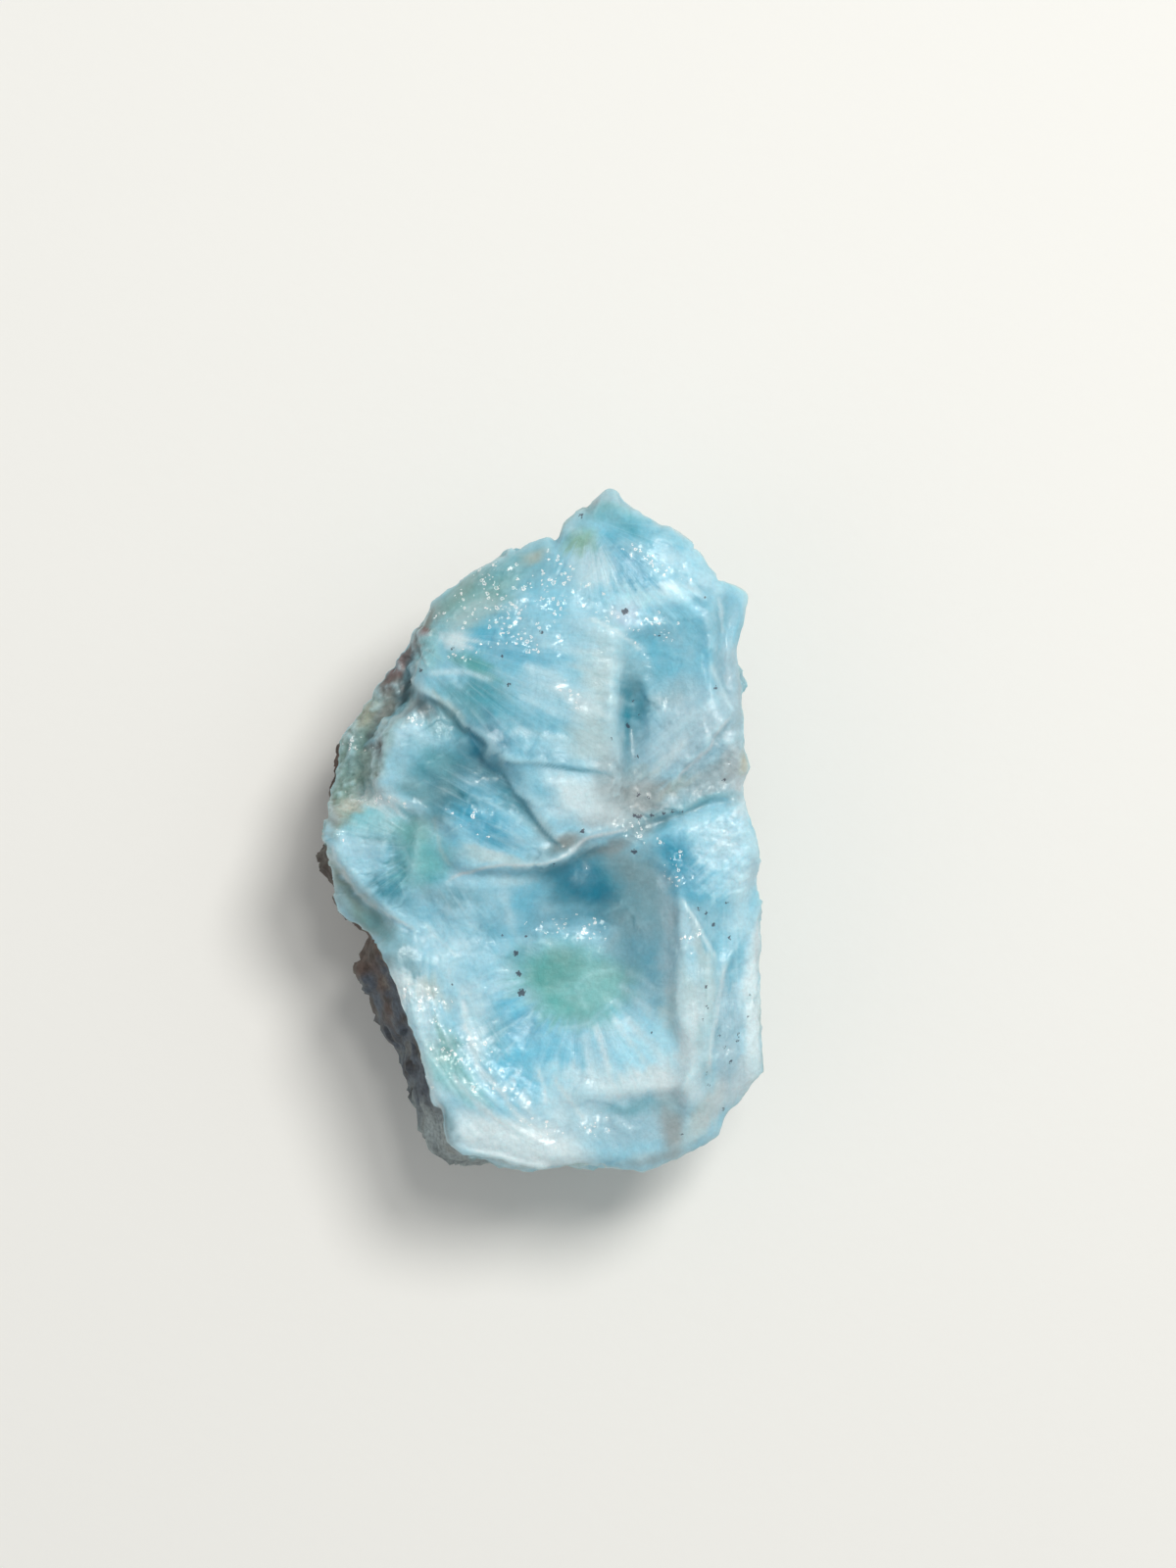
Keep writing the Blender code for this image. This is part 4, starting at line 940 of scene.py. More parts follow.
STREAKS = (
    Streak("slab ray", Hue.FROST, ((-8.2, 10.9), (-6.3, 11.0), (-4.8, 10.8), (-3.2, 10.3)), 0.2, 0.8),
    Streak("slab ray low", Hue.FROST, ((-2.4, 7.2), (-0.6, 6.7), (2.2, 6.2)), 0.3, 0.5),
    Streak("slab ray soft", Hue.FROST, ((-1.8, 11.6), (0.6, 10.6), (3.6, 8.8)), 0.45, 0.5),
    Streak("slab ray upper", Hue.FROST, ((-0.6, 13.0), (1.8, 12.4), (4.2, 11.2)), 0.4, 0.5),
    Streak("slab ray lower", Hue.FROST, ((-2.0, 9.5), (0.4, 8.5), (3.0, 7.2)), 0.4, 0.5),
    Streak("slab ray blue", Hue.LAGOON, ((-2.4, 10.6), (0.0, 9.6), (2.2, 8.4)), 0.18, 0.5),
    Streak("slab ray high", Hue.ICE, ((-1.0, 13.4), (1.4, 13.3), (4.0, 12.4)), 0.3, 0.5),
    Streak("slab arc", Hue.MILK, ((3.0, 14.8), (4.6, 13.9), (5.9, 13.1), (6.6, 12.3)), 0.15, 0.8),
    Streak("slab rim", Hue.FROST, ((-9.1, 11.4), (-9.0, 10.3), (-8.2, 9.6), (-6.9, 8.9)), 0.13, 0.2),
    Streak("crown groove", Hue.LAGOON, ((4.5, 18.2), (4.7, 17.0), (5.0, 16.2)), 0.15),
    Streak("knob rib", Hue.FROST, ((11.9, 16.2), (12.0, 14.6), (12.0, 13.5)), 0.13),
    Streak("knob ridge", Hue.FROST, ((11.3, 11.8), (11.7, 10.6), (12.4, 9.2), (12.9, 8.2)), 0.13),
    # The crease and groove streaks are painted shade along the steps
    Streak(
        "slab crease", Hue.HARBOUR,
        ((-3.8, 4.9), (-2.3, 4.8), (0.2, 4.6), (2.6, 4.3), (5.0, 3.9)),
        0.12, 0.6,
    ),
    Streak(
        "wedge groove", Hue.HARBOUR,
        ((-3.2, 4.5), (-2.5, 3.5), (-1.6, 2.1), (-0.2, 0.4), (1.6, -1.5)),
        0.13, 0.6,
    ),
    Streak(
        "slope edge", Hue.CHALK,
        ((8.9, 3.2), (9.4, 4.1), (10.6, 5.3), (11.2, 5.9), (12.0, 7.1), (12.8, 8.0)),
        0.11,
    ),
    Streak(
        "lobe rim", Hue.MILK,
        ((-14.8, -0.4), (-13.8, -2.6), (-12.6, -4.4), (-11.0, -5.6), (-9.2, -6.6), (-8.9, -7.2)),
        0.13, 0.85,
    ),
    Streak(
        "bowl brow", Hue.CHALK,
        ((-7.0, -3.7), (-6.2, -3.0), (-5.0, -2.6), (-3.0, -2.3), (0.0, -2.1), (1.6, -1.5),
         (2.4, -0.8), (3.2, -0.3), (5.0, 0.1), (6.5, 0.8)),
        0.12, 0.8,
    ),
    Streak("heart ray", Hue.FROST, ((5.0, -10.2), (6.2, -11.4), (7.4, -12.8)), 0.22, 0.5),
    Streak("heart ray low", Hue.FROST, ((4.6, -11.2), (5.6, -12.6), (6.6, -14.2)), 0.22, 0.5),
    Streak("heart ray wide", Hue.FROST, ((5.4, -9.4), (6.8, -10.2), (8.2, -11.4)), 0.22, 0.35),
    Streak("heart vein top", Hue.AQUA, ((3.2, -8.0), (3.0, -9.0), (3.4, -9.7)), 0.11, 0.6),
    # Painted shade in the crack
    Streak(
        "rind crack", Hue.SHADE,
        ((-9.1, 11.0), (-9.4, 9.6), (-9.8, 8.3), (-10.9, 7.7)),
        0.14, 0.9,
    ),
    Streak("apron vein", Hue.FROST, ((-8.4, -6.0), (-7.0, -7.6), (-5.6, -8.8)), 0.14),
    Streak(
        "lump vein", Hue.IVORY,
        ((-7.5, 1.2), (-7.3, 0.0), (-7.0, -1.4), (-6.4, -2.4)),
        0.14, 0.25,
    ),
    Streak("heart vein", Hue.AQUA, ((1.9, -10.7), (3.2, -9.7), (5.0, -9.4)), 0.13, 0.8),
    Streak("heart vein low", Hue.AQUA, ((1.9, -10.7), (2.5, -11.4), (2.9, -12.2)), 0.12),
    Streak(
        "heart edge", Hue.ICE,
        ((0.0, -13.3), (1.6, -13.3), (3.0, -13.0), (5.0, -11.2)),
        0.13, 0.3,
    ),
    Streak("fan ray", Hue.MILK, ((3.3, -13.0), (4.0, -14.8), (4.6, -16.5)), 0.2),
    Streak("fan ray soft", Hue.MILK, ((2.6, -13.6), (3.2, -15.6), (3.6, -17.2)), 0.4, 0.45),
    Streak("fan ray wide", Hue.MILK, ((5.4, -12.4), (7.0, -14.4), (8.8, -16.2)), 0.45, 0.5),
    Streak("fan ray right", Hue.MILK, ((4.5, -12.5), (5.8, -14.4), (7.0, -16.0)), 0.2, 0.6),
    Streak("fan ray left", Hue.MILK, ((0.5, -16.5), (1.6, -18.2), (3.0, -20.0)), 0.18),
    Streak("fan ray low", Hue.MILK, ((-0.5, -16.0), (-0.1, -17.4), (0.2, -18.7)), 0.13),
    Streak("strand", Hue.MILK, ((-5.6, -11.4), (-5.3, -13.8), (-4.6, -15.9), (-3.6, -17.5)), 0.22),
    Streak(
        "strand inner", Hue.MILK,
        ((-4.2, -16.2), (-3.0, -17.8), (-1.6, -19.5), (0.4, -21.0)),
        0.18,
    ),
    Streak("strand outer", Hue.MILK, ((-6.4, -16.4), (-4.8, -18.4), (-2.6, -20.2)), 0.2, 0.5),
    Streak(
        "left rim edge", Hue.MILK,
        ((-10.5, -9.8), (-9.7, -12.0), (-9.1, -14.2), (-8.2, -17.0), (-6.8, -19.6)),
        0.2,
    ),
    Streak(
        "bench ridge", Hue.MILK,
        ((9.2, -4.2), (10.3, -6.0), (11.1, -7.4), (11.8, -9.0)),
        0.13, 0.6,
    ),
    Streak("bench vein", Hue.MILK, ((12.4, -8.5), (11.8, -12.0), (11.1, -16.4)), 0.14),
)

# Dark inclusions: x, y and radius
SPECKS = (
    (-2.4, 10.1, 0.17), (2.5, 21.7, 0.2), (5.5, 15.1, 0.3), (10.9, 16.1, 0.15), (-2.9, 12.1, 0.16),
    (-6.3, 12.6, 0.14), (-8.5, 11.1, 0.18), (-0.2, 13.7, 0.18), (7.8, 13.5, 0.14), (11.7, 9.9, 0.15),
    (4.6, 6.4, 0.13), (5.7, 7.3, 0.22), (6.3, 5.2, 0.16), (6.0, 9.0, 0.13), (6.5, 8.0, 0.12),
    (6.2, 1.2, 0.2), (6.5, 1.1, 0.22), (7.3, 1.2, 0.18), (8.1, 1.3, 0.2), (8.7, 1.4, 0.15),
    (6.4, 2.6, 0.16), (7.1, 2.4, 0.14), (9.3, 1.5, 0.12), (2.6, 0.1, 0.2), (0.6, -2.2, 0.13),
    (6.1, -1.3, 0.22), (-2.9, -7.1, 0.14), (-1.3, -7.1, 0.12), (-2.0, -8.3, 0.26), (-1.8, -9.7, 0.28),
    (-1.6, -11.0, 0.34), (-6.3, -10.4, 0.12), (12.2, 3.6, 0.15), (7.3, -13.7, 0.1),
    (10.5, -5.2, 0.13), (11.0, -5.5, 0.14), (11.5, -6.3, 0.16), (12.6, -7.2, 0.16),
    (12.4, -4.8, 0.12), (11.0, -10.5, 0.15), (11.1, -11.9, 0.16), (10.8, -12.8, 0.12),
    (12.5, -11.1, 0.11), (14.0, -11.1, 0.12), (13.8, -12.5, 0.14), (11.9, -13.9, 0.14),
    (13.2, -13.8, 0.17), (13.2, -14.3, 0.13), (12.3, -14.7, 0.13), (12.7, -15.7, 0.17),
    (11.1, -16.5, 0.13), (11.2, -17.3, 0.14), (12.2, -19.0, 0.16), (9.4, -20.8, 0.16),
)

# Where small crystals catch the light: their gloss leans, and some get painted white glints
GLITTER = (
    Oval(-3.6, 17.8, 1.8, 0.9, 20), Oval(-5.4, 16.2, 1.6, 0.7, 25), Oval(-6.8, 15.0, 1.0, 0.9, 30),
    Oval(-2.6, 15.7, 2.3, 1.9, -20), Oval(-1.2, 13.6, 2.5, 1.2, -20), Oval(-4.8, 12.5, 1.9, 0.8),
    Oval(0.6, 17.0, 2.2, 1.8, 30), Oval(3.4, 15.8, 1.2, 0.5), Oval(5.0, 14.8, 1.0, 0.4, -10),
    Oval(7.0, 18.9, 1.7, 0.7, -20), Oval(8.6, 17.9, 1.6, 0.4, -40), Oval(7.4, 14.0, 1.8, 0.7),
    Oval(6.4, 12.8, 0.9, 0.3, -50), Oval(1.9, 9.2, 1.9, 0.5, -30), Oval(-9.3, 7.4, 1.0, 0.6, 10),
    Oval(-12.8, 5.8, 0.9, 0.6), Oval(-10.8, 2.0, 2.4, 0.5), Oval(-13.8, -0.4, 0.6, 0.4, -30),
    Oval(-5.0, 1.4, 1.6, 0.5), Oval(-4.4, 0.0, 1.2, 0.4, -20), Oval(6.2, 0.0, 1.6, 0.6, -30),
    Oval(8.9, -2.4, 1.3, 0.9, -60), Oval(1.9, -6.5, 2.7, 0.8), Oval(9.5, -7.6, 0.6, 0.5),
    Oval(-8.2, -11.4, 2.0, 0.7, -20), Oval(-6.2, -15.0, 2.6, 1.2, -60),
    Oval(-3.6, -16.2, 2.6, 1.0, -50), Oval(-0.4, -20.0, 2.2, 1.0, -50), Oval(3.5, -20.0, 0.8, 0.9),
    Oval(-7.6, -17.2, 0.9, 0.5, -50), Oval(10.2, -6.4, 0.5, 0.9, 20), Oval(-5.6, 14.6, 1.4, 0.8, 20),
)


@dataclass(frozen=True)
class BrokenFace:
    """The broad face: facets, ledges and strands inside the rim."""

    level: float = 15.4
    crispness: float = 1.6
    rim_roll: float = 0.7
    rim_roll_width: float = 1.1
    rim_roll_power: float = 2.5
    outline_blend: float = 4.0
    facets: tuple[Facet, ...] = FACETS
    ledges: tuple[Ledge, ...] = LEDGES

    def facet_height(self, x: Array, y: Array) -> Array:
        """The facets' planes, weighted by the exponential of minus their squared nearness."""
        near = np.array([facet.nearness(x, y) for facet in self.facets])
        height = np.array([facet.height(x, y) for facet in self.facets])
        weight = np.exp(-self.crispness * (near - near.min(axis=0)))
        return (weight * height).sum(axis=0) / weight.sum(axis=0)

    def height(self, x: Array, y: Array, inward: Array) -> Array:
        """Height of the face: level, facets and ledges, less the roll at the rim.

        Args:
            x: Places across.
            y: Places along.
            inward: Distance inward from the rim.

        Returns:
            Heights over the foot.
        """
        edge = np.clip(1 - inward / self.rim_roll_width, 0, 1)
        steps = sum(ledge.height(x, y) for ledge in self.ledges)
        return self.level + self.facet_height(x, y) + steps - self.rim_roll * edge**self.rim_roll_power

    def points(self, u: Array, v: Array) -> Array:
        """Places on the face for two parameters from -1 to 1.

        The square is pressed into a disc (each side shortened by the root of one less half the
        other's square), and the disc is stretched to the rim along its own bearings.

        Args:
            u: First parameter.
            v: Second parameter.

        Returns:
            Places, with the three axes last.
        """
        disc_x, disc_y = u * np.sqrt(1 - v**2 / 2), v * np.sqrt(1 - u**2 / 2)
        share, angle = np.hypot(disc_x, disc_y), np.arctan2(disc_y, disc_x)
        broad, exact = RIM.smooth_radius(angle), RIM.radius(angle)
        radius = broad * share + (exact - broad) * share**self.outline_blend
        x, y = RIM.hub[0] + radius * np.cos(angle), RIM.hub[1] + radius * np.sin(angle)
        return np.stack([x, y, self.height(x, y, exact - radius)], axis=-1)


@dataclass(frozen=True)
class Flanks:
    """The sides of the stone, from the rim of the face down to the foot."""

    face: BrokenFace
    foot_share: float = 0.83
    belly_step: float = 0.42
    turn_in_step: float = 0.36
    break_width: float = 0.9
    foot_roll: float = 0.7

    def set_back(self, angle: Array, z: Array) -> Array:
        """How far the breaks set the stone back below their lines."""
        depth = np.zeros_like(z)
        for bearing, spread, height, climb, most in BREAKS:
            off = (angle - np.radians(bearing) + np.pi) % (2 * np.pi) - np.pi
            below = fade((height + climb * off - z) / self.break_width)
            depth += most * below * fade(2 - 2 * np.abs(off) / np.radians(spread))
        return depth

    def chipped(self, radius: Array, angle: Array, z: Array) -> Array:
        """The radius cut back to the flat chips, each met along the point's own bearing."""
        for bearing, lean, reach in CHIPS:
            facing = np.cos(np.radians(lean)) * np.cos(angle - np.radians(bearing))
            meets = reach + np.sin(np.radians(lean)) * (z - CHIP_LEVEL)
            radius = np.minimum(radius, meets / np.maximum(facing, LEAST_FACING))
        return radius

    def points(self, angle: Array, step: Array) -> Array:
        """Places on the flanks: step 0 is the rim, and step 1 the foot.

        The radius swings from the rim out to the belly and back in to the foot; swells and breaks
        push it in, the chips cut it flat, and the last stretch rolls under.

        Args:
            angle: Bearings about the hub.
            step: Share of the way down.

        Returns:
            Places, with the three axes last.
        """
        edge, belly = RIM.radius(angle), BELLY.radius(angle)
        foot = self.foot_share * BELLY.smooth_radius(angle)
        rim_x, rim_y = RIM.hub[0] + edge * np.cos(angle), RIM.hub[1] + edge * np.sin(angle)
        z = self.face.height(rim_x, rim_y, np.zeros_like(edge)) * (1 - step)
        out = fade(step / self.belly_step)
        back = fade((step - self.turn_in_step) / (1 - self.turn_in_step))
        radius = edge + (belly - edge) * out + (foot - belly) * back
        x, y = RIM.hub[0] + radius * np.cos(angle), RIM.hub[1] + radius * np.sin(angle)
        for wave_x, wave_y, wave_z, shift, depth in SWELLS:
            radius = radius - depth * out * (1 + np.sin(wave_x * x + wave_y * y + wave_z * z + shift))
        radius = self.chipped(radius - self.set_back(angle, z), angle, z)
        low = np.clip(1 - z / self.foot_roll, 0, 1)
        radius = radius - self.foot_roll * (1 - np.sqrt(1 - low**2))
        return np.stack(
            [RIM.hub[0] + radius * np.cos(angle), RIM.hub[1] + radius * np.sin(angle), z], axis=-1
        )


@dataclass(frozen=True)
class Skin:
    """The closed surface of the stone: places, and faces as rows of corner numbers."""

    points: Array
    quads: Array
    triangles: Array
    face_count: int

    def flank(self, passes: int) -> Array:
        """0 on the broad face and 1 off it, smoothed over the rim."""
        off_face = (np.arange(len(self.points)) >= self.face_count).astype(float)
        return self.smoothed(off_face[:, None], passes)[:, 0]

    def normals(self, points: Array) -> Array:
        """Outward directions: the cross products of each face's diagonals, added at its corners."""
        a, b, c, d = (points[self.quads[:, k]] for k in range(4))
        p, q, r = (points[self.triangles[:, k]] for k in range(3))
        total = np.zeros_like(points)
        crossed = ((self.quads, np.cross(c - a, d - b)), (self.triangles, np.cross(q - p, r - p)))
        for corners, crosses in crossed:
            for k, axis in itertools.product(range(corners.shape[1]), range(3)):
                total[:, axis] += np.bincount(corners[:, k], crosses[:, axis], len(points))
        return total / np.maximum(np.linalg.norm(total, axis=1, keepdims=True), 1e-9)

    def smoothed(self, values: Array, passes: int) -> Array:
        """Values at the corners, averaged with their neighbours along the edges."""
        edges = np.vstack(
            [self.quads[:, [k, (k + 1) % 4]] for k in range(4)]
            + [self.triangles[:, [k, (k + 1) % 3]] for k in range(3)]
        )
        count = np.bincount(edges[:, 0], minlength=len(values))
        for _ in range(passes):
            near = [np.bincount(edges[:, 0], row[edges[:, 1]], len(values)) for row in values.T]
            values = 0.5 * values + 0.5 * np.stack(near, axis=-1) / count[:, None]
        return values


@dataclass(frozen=True)
class SkinCut:
    """How finely the surface is cut, and how its pieces are sewn together."""

    cells_across: int = 200
    cells_along: int = 290
    flank_rows: int = 58
    foot_rings: int = 12
    foot_hollow: float = 0.25

    def rim_ring(self) -> Array:
        """Corner numbers of the face's border, counter-clockwise seen from above."""
        wide, tall = self.cells_across + 1, self.cells_along + 1
        number = np.arange(wide * tall).reshape(tall, wide)
        return np.concatenate(
            [number[0, :-1], number[:-1, -1], number[-1, :0:-1], number[:0:-1, 0]]
        )

    def foot_points(self, edge: Array) -> Array:
        """Rings from the foot's edge to its middle, a little hollow between.

        Args:
            edge: Places of the foot's edge.

        Returns:
            Places, ring by ring, and the middle last.
        """
        middle = np.array([*RIM.hub, 0.0])
        share = 1 - np.arange(1, self.foot_rings + 1)[:, None, None] / (self.foot_rings + 1)
        rings = middle + (edge - middle) * share
        rings[..., 2] = self.foot_hollow * fade(3 * (1 - share[..., 0]))
        hollow = middle + np.array([0.0, 0.0, self.foot_hollow])
        return np.vstack([rings.reshape(-1, 3), hollow[None]])

    def skin(self, face: BrokenFace) -> Skin:
        """Sews the face, the flanks and the foot into one closed surface.

        Args:
            face: The broad face.

        Returns:
            The surface, with its faces pointing outwards.
        """
        u, v = np.meshgrid(
            np.linspace(-1, 1, self.cells_across + 1), np.linspace(-1, 1, self.cells_along + 1)
        )
        top = face.points(u, v).reshape(-1, 3)
        rim = self.rim_ring()
        arm = top[rim[::2]][:, :2] - np.array(RIM.hub)
        angle = np.arctan2(arm[:, 1], arm[:, 0])[None, :]
        step = (np.arange(1, self.flank_rows + 1) / self.flank_rows)[:, None]
        sides = Flanks(face).points(angle + 0 * step, step + 0 * angle)
        foot = self.foot_points(sides[-1])

        i, j = np.meshgrid(np.arange(self.cells_across), np.arange(self.cells_along))
        corner = (i + j * (self.cells_across + 1)).ravel()
        wide = self.cells_across + 1
        face_quads = np.stack([corner, corner + 1, corner + 1 + wide, corner + wide], axis=-1)

        ring = len(rim) // 2
        here = np.arange(ring)
        after = (here + 1) % ring
        first = len(top)
        middle, odd, following = rim[::2], rim[1::2], rim[(2 * here + 2) % len(rim)]
        seam = np.vstack([
            np.stack([middle, first + here, odd], axis=-1),
            np.stack([odd, first + here, first + after], axis=-1),
            np.stack([odd, first + after, following], axis=-1),
        ])
        rows = first + ring * np.arange(self.flank_rows + self.foot_rings - 1)[:, None]
        wall_quads = np.stack([rows + here, rows + here + ring, rows + after + ring, rows + after], axis=-1)
        last = first + ring * (self.flank_rows + self.foot_rings - 1)
        pole = last + ring
        fan = np.stack([last + here, pole + 0 * here, last + after], axis=-1)
        return Skin(
            points=np.vstack([top, sides.reshape(-1, 3), foot]),
            quads=np.vstack([face_quads, wall_quads.reshape(-1, 4)]),
            triangles=np.vstack([seam, fan]),
            face_count=first,
        )


@dataclass(frozen=True)
class HostRock:
    """The grey-brown rock that the larimar grew on: up to where it covers the flanks."""

    # Bearing in degrees and the height up to which the host rock reaches there
    cover: tuple[Point, ...] = (
        (-180, 12.6), (-178, 15.4), (-173, 15.4), (-170, 13.2), (-160, 14.4), (-150, 16.5),
        (-110, 16.5), (-103, 12.0), (-96, 5.2), (-70, 3.4), (-40, 3.0), (-10, 3.6), (25, 4.6),
        (60, 3.8), (95, 5.2), (125, 7.4), (140, 9.8), (160, 11.6), (180, 12.2),
    )
    # Reach and size of the top's wandering, and of the ragged hem under the rim
    wander: Pair = (1.3, 4.0)
    hem: Pair = (0.25, 0.8)
    hem_from: float = 0.30
    hem_run: float = 0.25
    edge: float = 0.30

    def share(self, points: Array, flank: Array) -> Array:
        """How far each place is host rock: 1 on the flanks below its wandering top, 0 elsewhere.

        Args:
            points: Places on the stone.
            flank: 0 on the broad face and 1 on the flanks.

        Returns:
            A share for each place.
        """
        bearing = np.degrees(np.arctan2(points[:, 1] - RIM.hub[1], points[:, 0] - RIM.hub[0]))
        angles, heights = np.array(self.cover).T
        wandering = self.wander[0] * layered_noise(points / self.wander[1], 61, 3)
        reach = np.interp(bearing, angles, heights) + wandering
        below = fade(0.5 + (reach - points[:, 2]) / (2 * self.edge))
        ragged = self.hem[0] * gradient_noise(points / self.hem[1], 62)
        return below * fade((flank - self.hem_from + ragged) / self.hem_run)


@dataclass(frozen=True)
class Shares:
    """What each place on the stone is, as shares from 0 to 1."""

    flank: Array
    rim: Array
    host: Array
    glitter: Array
    rind: Array


@dataclass(frozen=True)
class Relief:
    """What is too fine for the solid. A pair is a depth and a size, all in millimetres."""

    undulation: Pair = (0.09, 3.0)
    face_chips: float = 0.05
    flank_chips: float = 0.22
    host_chips: float = 0.30
    chip_size: float = 2.6
    chip_wander: float = 0.4
    # The small chips' depth is a share of the large ones'
    small_chips: Pair = (0.45, 1.1)
    rim_notches: Pair = (0.20, 1.5)
    grain: Pair = (0.014, 0.7)
    host_grain: float = 0.10
    rind_lumps: Pair = (0.30, 0.95)
    crystals: Pair = (0.045, 0.42)

    def depth(self, points: Array, shares: Shares) -> Array:
        """How far each place moves out along its normal.

        Args:
            points: Places on the stone.
            shares: What each place is.

        Returns:
            Distances, outwards positive.
        """
        x, y = points[:, 0], points[:, 1]
        moved = self.undulation[0] * layered_noise(points / self.undulation[1], 11, 3)
        for seed, spray in enumerate(SPRAYS, start=31):
            strands = spray.weight(x, y) * spray.strands(x, y, seed)
            moved += (1 - shares.flank) * spray.depth * strands
        most = self.flank_chips + (self.host_chips - self.flank_chips) * shares.host
        chips = self.face_chips + shares.flank * (most - self.face_chips)
        bent = points + self.chip_wander * gradient_noise(points, 5)[:, None]
        moved += chips * chip_facets(bent, self.chip_size, 71)
        moved += self.small_chips[0] * chips * chip_facets(points, self.small_chips[1], 72)
        moved += self.rim_notches[0] * shares.rim * layered_noise(points / self.rim_notches[1], 15, 2)
        grain = self.grain[0] + self.host_grain * shares.host
        moved += grain * layered_noise(points / self.grain[1], 13, 2)
        moved += self.rind_lumps[0] * shares.rind * layered_noise(points / self.rind_lumps[1], 74, 2)
        crystals = np.maximum(shares.glitter, shares.rind)
        return moved + self.crystals[0] * crystals * chip_facets(points, self.crystals[1], 73)


@dataclass(frozen=True)
class Markings:
    """The colours of the stone, place by place. A pair is a reach and a size in millimetres."""

    wander: Pair = (0.55, 2.9)
    fine_wander: Pair = (0.20, 0.6)
    feather: float = 1.0
    feather_size: Pair = (0.45, 4.0)
    streak_wander: float = 0.25
    # Crests are blended towards FROST: the broken stone's pale rims with painted highlight on them
    crest_reach: float = 0.16
    crest_strength: float = 0.40
    # Hollows are darkened with a teal tint as painted shade
    hollow_shade_strength: float = 0.32
    hollow_shade_tint: tuple[float, float, float] = (0.42, 0.76, 0.80)
    least_speck: float = 0.4
    crystal_patch: float = 0.9
    # Where the host rock turns to slate and then to blue grey, and over what length
    slate: Pair = (-8.6, 4.5)
    ash: Pair = (-17.2, 3.6)
    # The painted shade under the bottom lip, and the dark bump of host rock on the left
    under_lip_shade: Oval = Oval(-4.4, -23.2, 2.8, 1.0, -16)
    host_bump: Oval = Oval(-15.8, -2.2, 2.6, 1.6, 90)
    # The granular rind along the upper left, and the parts with a sugary grain
    grains: tuple[Oval, ...] = (
        Oval(-13.1, 4.8, 4.5, 1.9, 82), Oval(-11.1, 9.2, 3.5, 1.5, 55), Oval(-9.5, 11.9, 3.0, 0.9, 62),
    )
    sugared: tuple[Oval, ...] = (
        Oval(11.0, 4.4, 3.6, 2.0, 32), Oval(12.6, -0.8, 2.6, 1.8, 60), Oval(14.2, -11.6, 6.0, 0.9, 90),
        Oval(7.0, 2.6, 2.6, 1.4), Oval(-8.8, -12.0, 3.0, 0.9, -70),
    )
    sugared_share: float = 0.35
    # The translucent parts that swell in rounded cells between pale veins
    swollen: tuple[Oval, ...] = (
        Oval(-11.6, -1.0, 3.0, 2.6), Oval(-6.4, -6.6, 2.8, 2.6),
        Oval(-4.6, -10.0, 2.6, 2.4), Oval(-4.0, 0.6, 3.4, 1.8, -25),
    )

    def wandered(self, points: Array) -> tuple[Array, Array]:
        """Places across and along the face, shifted so that no edge is a plain curve.

        Coarse and fine noise shift them any way, and the sprays pull them along their fibres by
        noise that changes from fibre to fibre, so that the edges of the colours are feathered.

        Args:
            points: Places on the stone.

        Returns:
            Shifted places across and along.
        """
        x, y = points[:, 0], points[:, 1]
        shifts = []
        for seed in (101, 104):
            coarse = self.wander[0] * layered_noise(points / self.wander[1], seed, 2)
            fine = self.fine_wander[0] * gradient_noise(points / self.fine_wander[1], seed + 2)
            shifts.append(coarse + fine)
        for seed, spray in enumerate(SPRAYS, start=131):
            across, along = spray.coordinates(x, y)
            cells = np.stack(
                [across / self.feather_size[0], along / self.feather_size[1], 0 * x], axis=-1
            )
            pull = self.feather * spray.weight(x, y) * layered_noise(cells, seed, 2)
            for shift, run in zip(shifts, spray.run(x, y)):
                shift += pull * run
        return x + shifts[0], y + shifts[1]

    def glitter(self, points: Array, x: Array, y: Array) -> Array:
        """Share of glittering crystals: the ovals, broken up by noise."""
        patches = gradient_noise(points / self.crystal_patch, 105)
        return most_cover(GLITTER, x, y, 0.4) * fade(1.0 + 2.4 * patches)

    def rind(self, x: Array, y: Array) -> Array:
        """Share of the granular rind, and less of the sugary grain."""
        sugared = self.sugared_share * most_cover(self.sugared, x, y, 0.6)
        return np.maximum(most_cover(self.grains, x, y, 0.3), sugared)

    def gel(self, x: Array, y: Array) -> Array:
        """Share of the translucent swollen parts."""
        return most_cover(self.swollen, x, y, 0.3)

    def specks(self, points: Array) -> Array:
        """How far each place is inside the nearest dark speck, in millimetres."""
        depth = np.full(len(points), -self.least_speck)
        for x, y, radius in SPECKS:
            depth = np.maximum(depth, 0.8 * radius - np.hypot(points[:, 0] - x, points[:, 1] - y))
        return depth

    def face_colour(self, points: Array, x: Array, y: Array) -> Array:
        """Colour of the broad face: zones laid over one another, then streaks.

        Args:
            points: Places on the stone.
            x: Shifted places across.
            y: Shifted places along.

        Returns:
            Linear colours.
        """
        base = np.broadcast_to(Hue.SKY.rgb, (len(points), 3))
        colour = overlaid(base, ((zone.hue, zone.share(x, y)) for zone in ZONES))
        near_x = points[:, 0] + self.streak_wander * (x - points[:, 0])
        near_y = points[:, 1] + self.streak_wander * (y - points[:, 1])
        return overlaid(colour, ((streak.hue, streak.share(near_x, near_y)) for streak in STREAKS))

    def flank_colour(self, points: Array) -> Array:
        """Colour of the flanks' larimar: upright columns of milk, sky and lagoon blue, with painted shade
        under the bottom lip.
        """
        columns = layered_noise(points / np.array([1.3, 1.3, 6.0]), 111, 3)
        patches = layered_noise(points / 4.5, 112, 2)
        return overlaid(Hue.SKY.rgb, (
            (Hue.MIST, fade(0.5 + 1.4 * columns)),
            (Hue.LAGOON, 0.8 * fade(1.6 * patches)),
            (Hue.SAGE, 0.6 * fade(-1.8 * patches - 0.2)),
            # Teal painted shade on the flank under the bottom lip
            (Hue.TEAL, 0.85 * self.under_lip_shade.cover(points[:, 0], points[:, 1], 0.4)),
        ))

